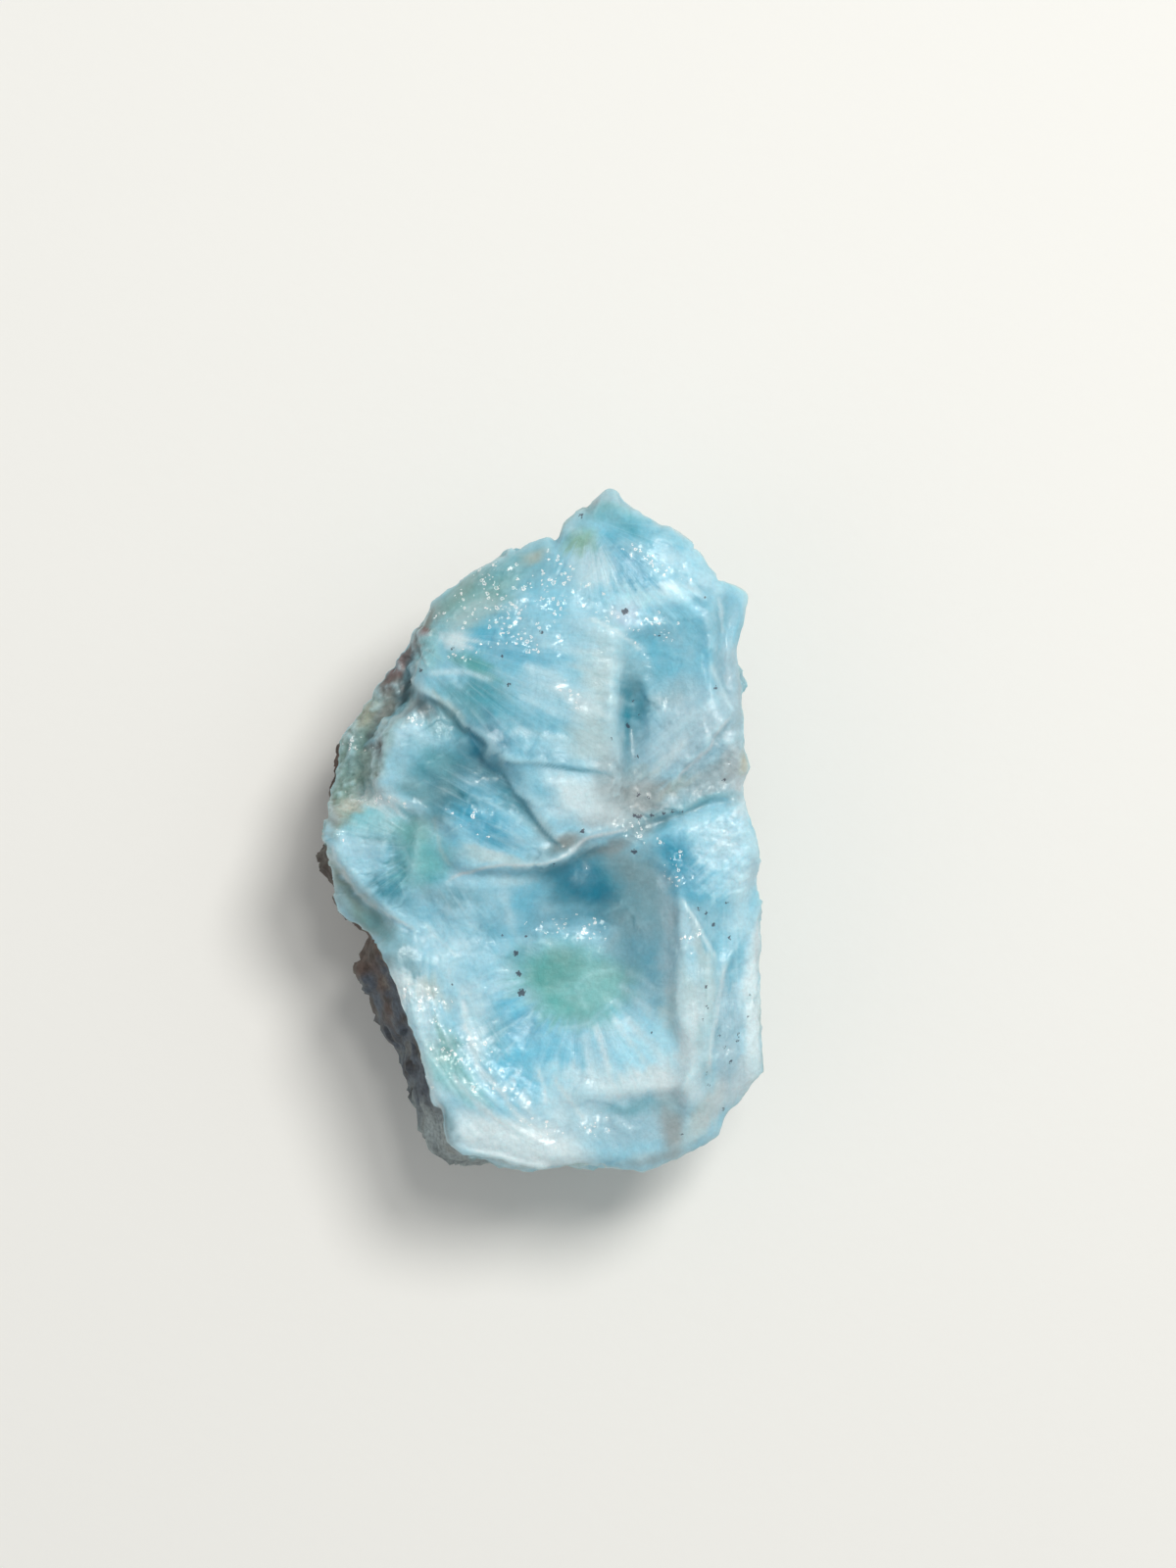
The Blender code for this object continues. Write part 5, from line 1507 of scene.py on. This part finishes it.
    def host_colour(self, points: Array) -> Array:
        """Colour of the host rock: umber that turns to slate, then to blue grey, down the face."""
        bands = layered_noise(points / np.array([1.2, 1.2, 2.0]), 121, 3)
        patches = layered_noise(points / 2.6, 122, 2)
        lower = (self.slate[0] - points[:, 1]) / self.slate[1]
        tip = (self.ash[0] - points[:, 1]) / self.ash[1]
        return overlaid(Hue.UMBER.rgb, (
            (Hue.SLATE, fade(lower + 1.2 * patches)),
            (Hue.ASH, fade(tip + 0.9 * patches)),
            (Hue.GRAPHITE, 0.85 * fade(1.6 * bands) * (1 - 0.7 * fade(tip))),
            (Hue.GRAPHITE, 0.7 * self.host_bump.cover(points[:, 0], points[:, 1], 0.4)),
            (Hue.DRAB, 0.5 * fade(-1.8 * bands - 0.25)),
        ))

    def tint(
        self, points: Array, wandered: tuple[Array, Array], up: Array, host: Array, crest: Array
    ) -> Array:
        """Base colour of the whole stone, with painted highlight on the crests and painted shade in the
        hollows.

        Args:
            points: Places on the stone.
            wandered: Shifted places across and along the face.
            up: 1 where the surface faces up and 0 where it stands or hangs.
            host: Share of host rock.
            crest: Height over the smoothed surface, in millimetres.

        Returns:
            Linear colours.
        """
        colour = blend(self.flank_colour(points), self.face_colour(points, *wandered), up)
        # Paler crests: the stone's pale rims with painted highlight
        pale_crest_and_highlight = self.crest_strength * fade(crest / self.crest_reach)
        colour = blend(colour, Hue.FROST.rgb, pale_crest_and_highlight)
        # Painted shade in the hollows
        hollow = self.hollow_shade_strength * fade(-crest / self.crest_reach)
        colour = blend(colour, colour * np.array(self.hollow_shade_tint), hollow)
        colour = blend(colour, self.host_colour(points), host)
        seam = np.exp(-(((host - 0.5) / 0.35) ** 2)) * (1 - up)
        return blend(colour, Hue.RIND.rgb, 0.6 * seam)


Socket = bpy.types.NodeSocket
Value = Socket | float | tuple[float, ...]


@dataclass(frozen=True)
class NodeSheet:
    """Adds nodes to one material's tree, and hands back the output that is used."""

    tree: bpy.types.NodeTree

    def add(
        self, kind: str, inputs: Mapping[str | int, Value] | None = None, **settings: Any
    ) -> bpy.types.Node:
        """Adds a node with its settings and links.

        Args:
            kind: The node's type, without the word ShaderNode.
            inputs: Each input's name or number with a plain value or another node's output.
            settings: The node's own settings.

        Returns:
            The new node.
        """
        node = self.tree.nodes.new(f"ShaderNode{kind}")
        for name, value in settings.items():
            setattr(node, name, value)
        self.fill(node, inputs or {})
        return node

    def fill(self, node: bpy.types.Node, inputs: Mapping[str | int, Value]) -> None:
        """Sets a node's inputs, or links them to other nodes' outputs."""
        for key, value in inputs.items():
            if isinstance(value, Socket):
                self.tree.links.new(value, node.inputs[key])
            else:
                node.inputs[key].default_value = value

    def place(self) -> Socket:
        """Object coordinates, in metres."""
        return self.add("TexCoord").outputs["Object"]

    def attribute(self, name: str, output: str = "Fac") -> Socket:
        """One of the mesh's own attributes."""
        return self.add("Attribute", attribute_name=name).outputs[output]

    def maths(self, operation: str, *values: Value) -> Socket:
        """Works on plain numbers."""
        return self.add("Math", dict(enumerate(values)), operation=operation).outputs[0]

    def vector(self, operation: str, *values: Value) -> Socket:
        """Works on vectors."""
        return self.add("VectorMath", dict(enumerate(values)), operation=operation).outputs[0]

    def ramp(
        self, value: Socket, start: float, end: float, first: Value, last: Value, **settings: Any
    ) -> Socket:
        """Carries a value from start to end over to first to last, and holds it at both."""
        inputs = dict(enumerate((value, start, end, first, last)))
        return self.add("MapRange", inputs, **settings).outputs[0]

    def noise(
        self, place: Socket, size: float, detail: float, roughness: float = 0.5, output: str = "Fac"
    ) -> Socket:
        """Noise with lumps of that size in millimetres."""
        inputs = {"Vector": place, "Scale": 1 / (size * MM), "Detail": detail, "Roughness": roughness}
        return self.add("TexNoise", inputs).outputs[output]

    def mixed(self, share: Socket, first: Value, second: Value, **settings: Any) -> Socket:
        """Mixes two colours."""
        return self.add("Mix", {0: share, 6: first, 7: second}, data_type="RGBA", **settings).outputs[2]

    def bent(self, place: Socket, size: float, reach: float) -> Socket:
        """Places shifted by noise of that size, by up to that reach, in millimetres."""
        shaken = self.noise(place, size, 2.0, output="Color")
        return self.vector("MULTIPLY_ADD", shaken, (reach * MM,) * 3, place)

    def bump(
        self, height: Socket, depth: float, normal: Socket | None = None, strength: float = 1.0
    ) -> Socket:
        """Tilts the normal by a height, whose range is that depth in millimetres."""
        inputs = {"Strength": strength, "Distance": depth * MM, "Height": height}
        if normal is not None:
            inputs["Normal"] = normal
        return self.add("Bump", inputs).outputs[0]


def blank_material(name: str) -> tuple[bpy.types.Material, NodeSheet, bpy.types.Node]:
    """Makes a material, and gives it with its node sheet and its shader."""
    material = bpy.data.materials.new(name)
    material.use_nodes = True
    tree = material.node_tree
    return material, NodeSheet(tree), tree.nodes["Principled BSDF"]


@dataclass(frozen=True)
class LarimarFinish:
    """Fresh broken larimar, a fibrous blue pectolite, moist, with host rock on its flanks.

    Fibres under a thin wet gloss give a silky, slightly deep surface; small crystals in it catch
    the light one by one through their leaning gloss, and some carry a painted white glint in the
    base colour. The host rock is dull and rough. Lengths are in millimetres. A run is the number
    of noise cells along a fibre for each cell across it.
    """

    ior: float = 1.60
    gloss_ior: float = 1.7
    roughness: float = 0.48
    host_roughness: float = 0.80
    gloss: float = 0.14
    crystal_gloss: float = 0.5
    host_gloss: float = 0.08
    gloss_roughness: float = 0.06
    depth_share: float = 0.65
    depth_scale: float = 1.0
    depth_radius: tuple[float, float, float] = (0.6, 0.95, 1.0)
    fibre_pitch: float = 0.48
    fibre_run: float = 0.09
    column_pitch: float = 0.55
    column_run: float = 0.16
    column_share: float = 1.6
    fibre_contrast: float = 0.38
    fibre_relief: float = 0.035
    fibre_shade: tuple[float, float, float, float] = (0.45, 0.78, 0.82, 1.0)
    mottle_size: float = 0.28
    mottle_relief: float = 0.03
    mottle_contrast: float = 0.35
    coarse_contrast: float = 1.2
    rind_coarseness: float = 0.4
    cloud_size: float = 2.4
    grain_size: float = 0.22
    grain_relief: float = 0.05
    speck_crumb: float = 0.16
    speck_raggedness: float = 0.45
    gel_size: float = 1.6
    gel_bend: Pair = (1.3, 1.1)
    gel_veins: float = 0.14
    gel_relief: float = 0.025
    crystal_size: float = 0.33
    crystal_bend: Pair = (0.22, 0.34)
    crystal_tilt: float = 0.50
    # The crystals' middle tilt: less than a half leans them to the right and up the face
    cleavage: tuple[float, float, float] = (0.30, 0.24, 0.50)
    # A crystal gets a painted white glint where its drawn number and this share of the glitter
    # pass the threshold
    glint_paint_share: float = 0.72
    glint_paint_from: float = 1.04
    glint_paint_full: float = 1.08
    glint_paint_strength: float = 0.95
    glint_paint_colour: tuple[float, float, float, float] = (0.93, 0.97, 0.98, 1.0)

    def material(self) -> bpy.types.Material:
        """Builds the material, which reads Object coordinates and the stone's own attributes.

        Returns:
            The material.
        """
        material, sheet, shader = blank_material("wet_larimar")
        place = sheet.place()
        host, glitter, rind = sheet.add("SeparateXYZ", {0: sheet.attribute("masks", "Vector")}).outputs
        coarse = sheet.maths("MAXIMUM", host, sheet.maths("MULTIPLY", rind, self.rind_coarseness))
        fibres = self.fibres(sheet, place)
        mottle = sheet.noise(place, self.mottle_size, 3.0, 0.6)
        pillow, veins = self.gel(sheet, place)
        colour = self.mottled(sheet, place, self.colour(sheet, fibres, veins), mottle, coarse)

        grain = sheet.maths("MULTIPLY", sheet.noise(place, self.grain_size, 4.0, 0.65), coarse)
        bump = sheet.bump(fibres, self.fibre_relief)
        bump = sheet.bump(pillow, self.gel_relief, bump)
        bump = sheet.bump(mottle, self.mottle_relief, bump)
        bump = sheet.bump(grain, self.grain_relief, bump)

        leaned, glint_paint = self.crystals(sheet, place, glitter, bump)
        moist = sheet.ramp(glitter, 0.0, 0.8, self.gloss, self.crystal_gloss)
        # Painted glints: white crystal rims mixed into the base colour
        sheet.fill(shader, {
            "Base Color": sheet.mixed(glint_paint, colour, self.glint_paint_colour),
            "Roughness": sheet.ramp(coarse, 0.0, 1.0, self.roughness, self.host_roughness),
            "IOR": self.ior,
            "Normal": bump,
            "Subsurface Weight": sheet.ramp(host, 0.0, 1.0, self.depth_share, 0.0),
            "Subsurface Radius": self.depth_radius,
            "Subsurface Scale": self.depth_scale * MM,
            "Coat Weight": sheet.ramp(host, 0.0, 1.0, moist, self.host_gloss),
            "Coat Roughness": self.gloss_roughness,
            "Coat IOR": self.gloss_ior,
            "Coat Normal": leaned,
        })
        return material

    def fibres(self, sheet: NodeSheet, place: Socket) -> Socket:
        """Adds the fine fibres: upright on the flanks, and along every spray on the face.

        Args:
            sheet: The material's nodes.
            place: Object coordinates.

        Returns:
            A value round 0: positive on pale fibres, negative between them.
        """
        finer = 1 / (self.column_pitch * MM)
        stretched = sheet.vector("MULTIPLY", place, (finer, finer, self.column_run * finer))
        shown = sheet.maths("MULTIPLY", sheet.attribute("side"), self.column_share)
        total = self.strands(sheet, stretched, shown, 0.0)
        for spray in SPRAYS:
            lie = sheet.attribute(f"fibre_{spray.name}", "Vector")
            across, along, shown = sheet.add("SeparateXYZ", {0: lie}).outputs
            across = sheet.maths("MULTIPLY", across, 1 / self.fibre_pitch)
            along = sheet.maths("MULTIPLY", along, self.fibre_run / self.fibre_pitch)
            stretched = sheet.add("CombineXYZ", {0: across, 1: along}).outputs[0]
            total = self.strands(sheet, stretched, shown, total)
        return total

    def strands(self, sheet: NodeSheet, stretched: Socket, shown: Socket, total: Value) -> Socket:
        """Adds noise round 0 to a total, by how far it is shown."""
        inputs = {"Vector": stretched, "Scale": 1.0, "Detail": 3.0, "Roughness": 0.6, "Distortion": 0.3}
        noise = sheet.add("TexNoise", inputs).outputs["Fac"]
        return sheet.maths("MULTIPLY_ADD", sheet.maths("SUBTRACT", noise, 0.5), shown, total)

    def gel(self, sheet: NodeSheet, place: Socket) -> tuple[Socket, Socket]:
        """Adds the rounded cells of the translucent parts.

        Args:
            sheet: The material's nodes.
            place: Object coordinates.

        Returns:
            How far each place swells, and how pale its vein is.
        """
        shown = sheet.attribute("gel")
        cells = {"Vector": sheet.bent(place, *self.gel_bend), "Scale": 1 / (self.gel_size * MM)}
        border = sheet.add("TexVoronoi", cells, feature="DISTANCE_TO_EDGE").outputs["Distance"]
        pillow = sheet.ramp(border, 0.0, 0.30, 0.0, 1.0, interpolation_type="SMOOTHSTEP")
        vein = sheet.ramp(border, 0.0, 0.12, self.gel_veins, 0.0)
        return sheet.maths("MULTIPLY", pillow, shown), sheet.maths("MULTIPLY", vein, shown)

    def colour(self, sheet: NodeSheet, fibres: Socket, veins: Socket) -> Socket:
        """Adds pale and deep fibres and pale veins to the tint.

        Args:
            sheet: The material's nodes.
            fibres: A value round 0 for the fibres.
            veins: How pale each vein is.

        Returns:
            The colour.
        """
        milk = (*Hue.FROST.rgb, 1.0)
        pale = sheet.ramp(fibres, 0.02, 0.28, 0.0, self.fibre_contrast)
        deep = sheet.ramp(fibres, -0.02, -0.30, 0.0, self.fibre_contrast)
        colour = sheet.mixed(pale, sheet.attribute("tint", "Color"), milk)
        colour = sheet.mixed(deep, colour, self.fibre_shade, blend_type="MULTIPLY")
        return sheet.mixed(veins, colour, milk)

    def mottled(
        self, sheet: NodeSheet, place: Socket, colour: Socket, mottle: Socket, coarse: Socket
    ) -> Socket:
        """Makes a colour cloudy and uneven, more so on coarse stone, and adds the dark specks.

        Args:
            sheet: The material's nodes.
            place: Object coordinates.
            colour: The colour so far.
            mottle: Fine noise.
            coarse: How coarse each place is.

        Returns:
            The colour.
        """
        contrast = sheet.maths("MULTIPLY_ADD", coarse, self.coarse_contrast, self.mottle_contrast)
        value = sheet.maths("MULTIPLY_ADD", sheet.maths("SUBTRACT", mottle, 0.5), contrast, 1.0)
        saturation = sheet.ramp(sheet.noise(place, self.cloud_size, 4.0, 0.55), 0.3, 0.7, 0.86, 1.14)
        inputs = {"Saturation": saturation, "Value": value, "Color": colour}
        uneven = sheet.add("HueSaturation", inputs).outputs[0]
        crumbs = sheet.noise(place, self.speck_crumb, 2.0)
        ragged = sheet.maths("MULTIPLY_ADD", crumbs, self.speck_raggedness, sheet.attribute("speck"))
        return sheet.mixed(sheet.ramp(ragged, 0.22, 0.26, 0.0, 0.85), uneven, (*Hue.INK.rgb, 1.0))

    def crystals(
        self, sheet: NodeSheet, place: Socket, glitter: Socket, bump: Socket
    ) -> tuple[Socket, Socket]:
        """Adds small crystals: each leans its own way, and some get painted white glints on their rims.

        Args:
            sheet: The material's nodes.
            place: Object coordinates.
            glitter: Share of glittering crystals.
            bump: The surface's normal.

        Returns:
            The gloss's normal, and how much painted white glint each place gets.
        """
        cells = {"Vector": sheet.bent(place, *self.crystal_bend), "Scale": 1 / (self.crystal_size * MM)}
        beads = sheet.add("TexVoronoi", cells).outputs
        lean = sheet.vector("SUBTRACT", beads["Color"], self.cleavage)
        lean = sheet.vector("MULTIPLY", lean, sheet.ramp(glitter, 0.0, 0.6, 0.0, self.crystal_tilt))
        normal = sheet.vector("NORMALIZE", sheet.vector("ADD", bump, lean))

        _, breadth, drawn = sheet.add("SeparateXYZ", {0: beads["Color"]}).outputs
        size = sheet.ramp(breadth, 0.0, 1.0, 0.12, 0.46)
        within = sheet.maths("SUBTRACT", size, beads["Distance"])
        outer = sheet.ramp(within, 0.0, 0.05, 0.0, 1.0)
        inner = sheet.ramp(within, 0.12, 0.22, 1.0, 0.15)
        chance = sheet.maths("MULTIPLY_ADD", glitter, self.glint_paint_share, drawn)
        glint_paint = sheet.ramp(chance, self.glint_paint_from, self.glint_paint_full, 0.0, self.glint_paint_strength)
        return normal, sheet.maths("MULTIPLY", sheet.maths("MULTIPLY", outer, inner), glint_paint)


def placed(name: str, data: bpy.types.ID) -> bpy.types.Object:
    """Makes an object and puts it into the scene."""
    item = bpy.data.objects.new(name, data)
    bpy.context.scene.collection.objects.link(item)
    return item


def store(mesh: bpy.types.Mesh, name: str, *columns: Array) -> None:
    """Stores one, three or four values for each corner as an attribute of the mesh."""
    kind, key = {
        1: ("FLOAT", "value"), 3: ("FLOAT_VECTOR", "vector"), 4: ("FLOAT_COLOR", "color"),
    }[len(columns)]
    mesh.attributes.new(name, kind, "POINT").data.foreach_set(key, np.column_stack(columns).ravel())


@dataclass(frozen=True)
class LarimarStone:
    """The whole stone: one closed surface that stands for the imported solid."""

    node: str = NODE
    cut: SkinCut = SkinCut()
    face: BrokenFace = BrokenFace()
    host_rock: HostRock = HostRock()
    relief: Relief = Relief()
    markings: Markings = Markings()
    finish: LarimarFinish = LarimarFinish()
    flank_passes: int = 3
    rim_passes: int = 10
    normal_passes: int = 3
    crest_passes: int = 24
    facing_passes: int = 2
    # How far the surface leans up where the face's colours begin, and over what range
    facing_from: float = 0.1
    facing_run: float = 0.45

    def fitted(self, points: Array) -> Array:
        """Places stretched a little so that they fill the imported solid's box, in metres."""
        low, high = (np.array(corner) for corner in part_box(self.node))
        least, most = points.min(axis=0), points.max(axis=0)
        return low + (points - least) / (most - least) * (high - low)

    def shares(self, skin: Skin, wandered: tuple[Array, Array]) -> Shares:
        """What each place is: flank, rim, host rock, glittering crystals and rind.

        Args:
            skin: The surface before the relief.
            wandered: Shifted places across and along the face.

        Returns:
            The shares.
        """
        flank, near_rim = skin.flank(self.flank_passes), skin.flank(self.rim_passes)
        host = self.host_rock.share(skin.points, flank)
        return Shares(
            flank=flank,
            rim=4 * near_rim * (1 - near_rim),
            host=host,
            glitter=self.markings.glitter(skin.points, *wandered) * (1 - flank),
            rind=self.markings.rind(*wandered) * (1 - flank) * (1 - host),
        )

    def dress(
        self, mesh: bpy.types.Mesh, rest: Array, wandered: tuple[Array, Array], shares: Shares
    ) -> None:
        """Stores what the material reads.

        Args:
            mesh: The stone's mesh.
            rest: Places before the relief.
            wandered: Shifted places across and along the face.
            shares: What each place is.
        """
        on_face = 1 - shares.flank
        store(mesh, "masks", shares.host, shares.glitter, shares.rind)
        specks = np.where(shares.flank < 0.5, self.markings.specks(rest), -self.markings.least_speck)
        store(mesh, "speck", specks)
        store(mesh, "gel", self.markings.gel(*wandered) * on_face * (1 - shares.rind))
        store(mesh, "side", shares.flank * (1 - shares.host))
        for spray in SPRAYS:
            across, along = spray.coordinates(rest[:, 0], rest[:, 1])
            shown = on_face * spray.weight(rest[:, 0], rest[:, 1])
            store(mesh, f"fibre_{spray.name}", across, along, shown)

    def build(self) -> bpy.types.Object:
        """Makes the mesh, its attributes and its material, and places it on the frame.

        Returns:
            The stone.
        """
        skin = self.cut.skin(self.face)
        rest = skin.points
        wandered = self.markings.wandered(rest)
        shares = self.shares(skin, wandered)
        normals = skin.normals(skin.smoothed(rest, self.normal_passes))
        moved = rest + normals * self.relief.depth(rest, shares)[:, None]
        moved[:, 2] = np.maximum(moved[:, 2], 0)
        crest = ((moved - skin.smoothed(moved, self.crest_passes)) * normals).sum(axis=1)
        facing = skin.normals(skin.smoothed(moved, self.facing_passes))[:, 2]
        up = fade((facing - self.facing_from) / self.facing_run)
        tint = self.markings.tint(rest, wandered, up, shares.host, crest)

        mesh = bpy.data.meshes.new("rough_larimar")
        mesh.from_pydata(self.fitted(moved), [], skin.quads.tolist() + skin.triangles.tolist())
        mesh.shade_smooth()
        store(mesh, "tint", *tint.T, np.ones(len(tint)))
        self.dress(mesh, rest, wandered, shares)
        mesh.materials.append(self.finish.material())
        stone = placed("rough_larimar", mesh)
        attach(stone, "root")
        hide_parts(self.node)
        log.info("rough_larimar: %d faces", len(mesh.polygons))
        return stone


@dataclass(frozen=True)
class Softbox:
    """A round studio lamp with a soft edge to its shadows."""

    name: str
    bearing: float
    elevation: float
    distance: float
    radius: float
    power: float
    colour: str = "#FFFFFF"

    def place(self, target: Vector) -> None:
        """Puts the lamp on its bearing and elevation, turned to the target."""
        bearing, elevation = np.radians(self.bearing), np.radians(self.elevation)
        level = np.cos(elevation)
        way = Vector((np.cos(bearing) * level, np.sin(bearing) * level, np.sin(elevation)))
        lamp = bpy.data.lights.new(self.name, "AREA")
        lamp.shape = "DISK"
        lamp.size = 2 * self.radius
        lamp.energy = self.power
        lamp.color = linear(self.colour)
        holder = placed(self.name, lamp)
        holder.location = target + way * self.distance
        holder.rotation_mode = "QUATERNION"
        holder.rotation_quaternion = way.to_track_quat("Z", "Y")


@dataclass(frozen=True)
class Studio:
    """A pale floor, soft lamps, and a camera that looks straight down on the stone."""

    floor_half: float = 1.5
    floor_colour: str = "#F1F1EF"
    floor_tooth: float = 1.111
    sky_colour: str = "#F6F7F5"
    sky_strength: float = 0.42
    pixels_per_mm: float = 15.0
    image_middle: Point = (600.0, 800.0)
    face_origin: Point = (549.0, 850.0)
    image_height: float = 1600.0
    face_level: float = 16.0
    camera_distance: float = 450.0
    sensor: float = 36.0
    target: tuple[float, float, float] = (0.0, 0.0, 0.012)
    lamps: tuple[Softbox, ...] = (
        Softbox("key", 48, 58, 0.55, 0.090, 1.7, "#FFFCF6"),
        Softbox("glint", 60, 72, 0.60, 0.050, 0.5, "#FFFCF6"),
        Softbox("fill", 200, 45, 0.80, 0.30, 0.3),
    )

    def floor(self) -> bpy.types.Object:
        """Makes the floor, a wide sheet of pale matt board."""
        corners = np.array([(-1, -1, 0), (1, -1, 0), (1, 1, 0), (-1, 1, 0)]) * self.floor_half
        mesh = bpy.data.meshes.new("floor")
        mesh.from_pydata(corners.tolist(), [], [(0, 1, 2, 3)])
        material, sheet, shader = blank_material("pale_board")
        tooth = sheet.noise(sheet.place(), self.floor_tooth, 3.0)
        sheet.fill(shader, {
            "Base Color": (*linear(self.floor_colour), 1.0),
            "Roughness": 0.85,
            "Normal": sheet.bump(tooth, 0.05, strength=0.3),
        })
        mesh.materials.append(material)
        floor = placed("floor", mesh)
        return floor

    def camera(self) -> bpy.types.Object:
        """Places the camera so that the stone has the place and size that it has in the photo."""
        x = (self.image_middle[0] - self.face_origin[0]) / self.pixels_per_mm * MM
        y = (self.face_origin[1] - self.image_middle[1]) / self.pixels_per_mm * MM
        lens = bpy.data.cameras.new("camera")
        lens.sensor_width = self.sensor
        lens.lens = self.sensor * self.camera_distance * self.pixels_per_mm / self.image_height
        lens.clip_start, lens.clip_end = 0.01, 10.0
        camera = placed("camera", lens)
        camera.location = (x, y, (self.camera_distance + self.face_level) * MM)
        bpy.context.scene.camera = camera
        return camera

    def build(self) -> None:
        """Sets the floor, the sky, the lamps and the camera."""
        self.floor()
        world = bpy.data.worlds.new("studio")
        world.use_nodes = True
        sky = world.node_tree.nodes["Background"]
        sky.inputs["Color"].default_value = (*linear(self.sky_colour), 1.0)
        sky.inputs["Strength"].default_value = self.sky_strength
        bpy.context.scene.world = world
        for lamp in self.lamps:
            lamp.place(Vector(self.target))
        self.camera()
        bpy.context.scene.view_settings.view_transform = "Standard"
        log.info("studio: %d lamps", len(self.lamps))


def main() -> None:
    """Builds the stone and the studio."""
    logging.basicConfig(level=logging.INFO, format="%(name)s: %(message)s")
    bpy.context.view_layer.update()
    LarimarStone().build()
    Studio().build()


if __name__ == "__main__":
    main()
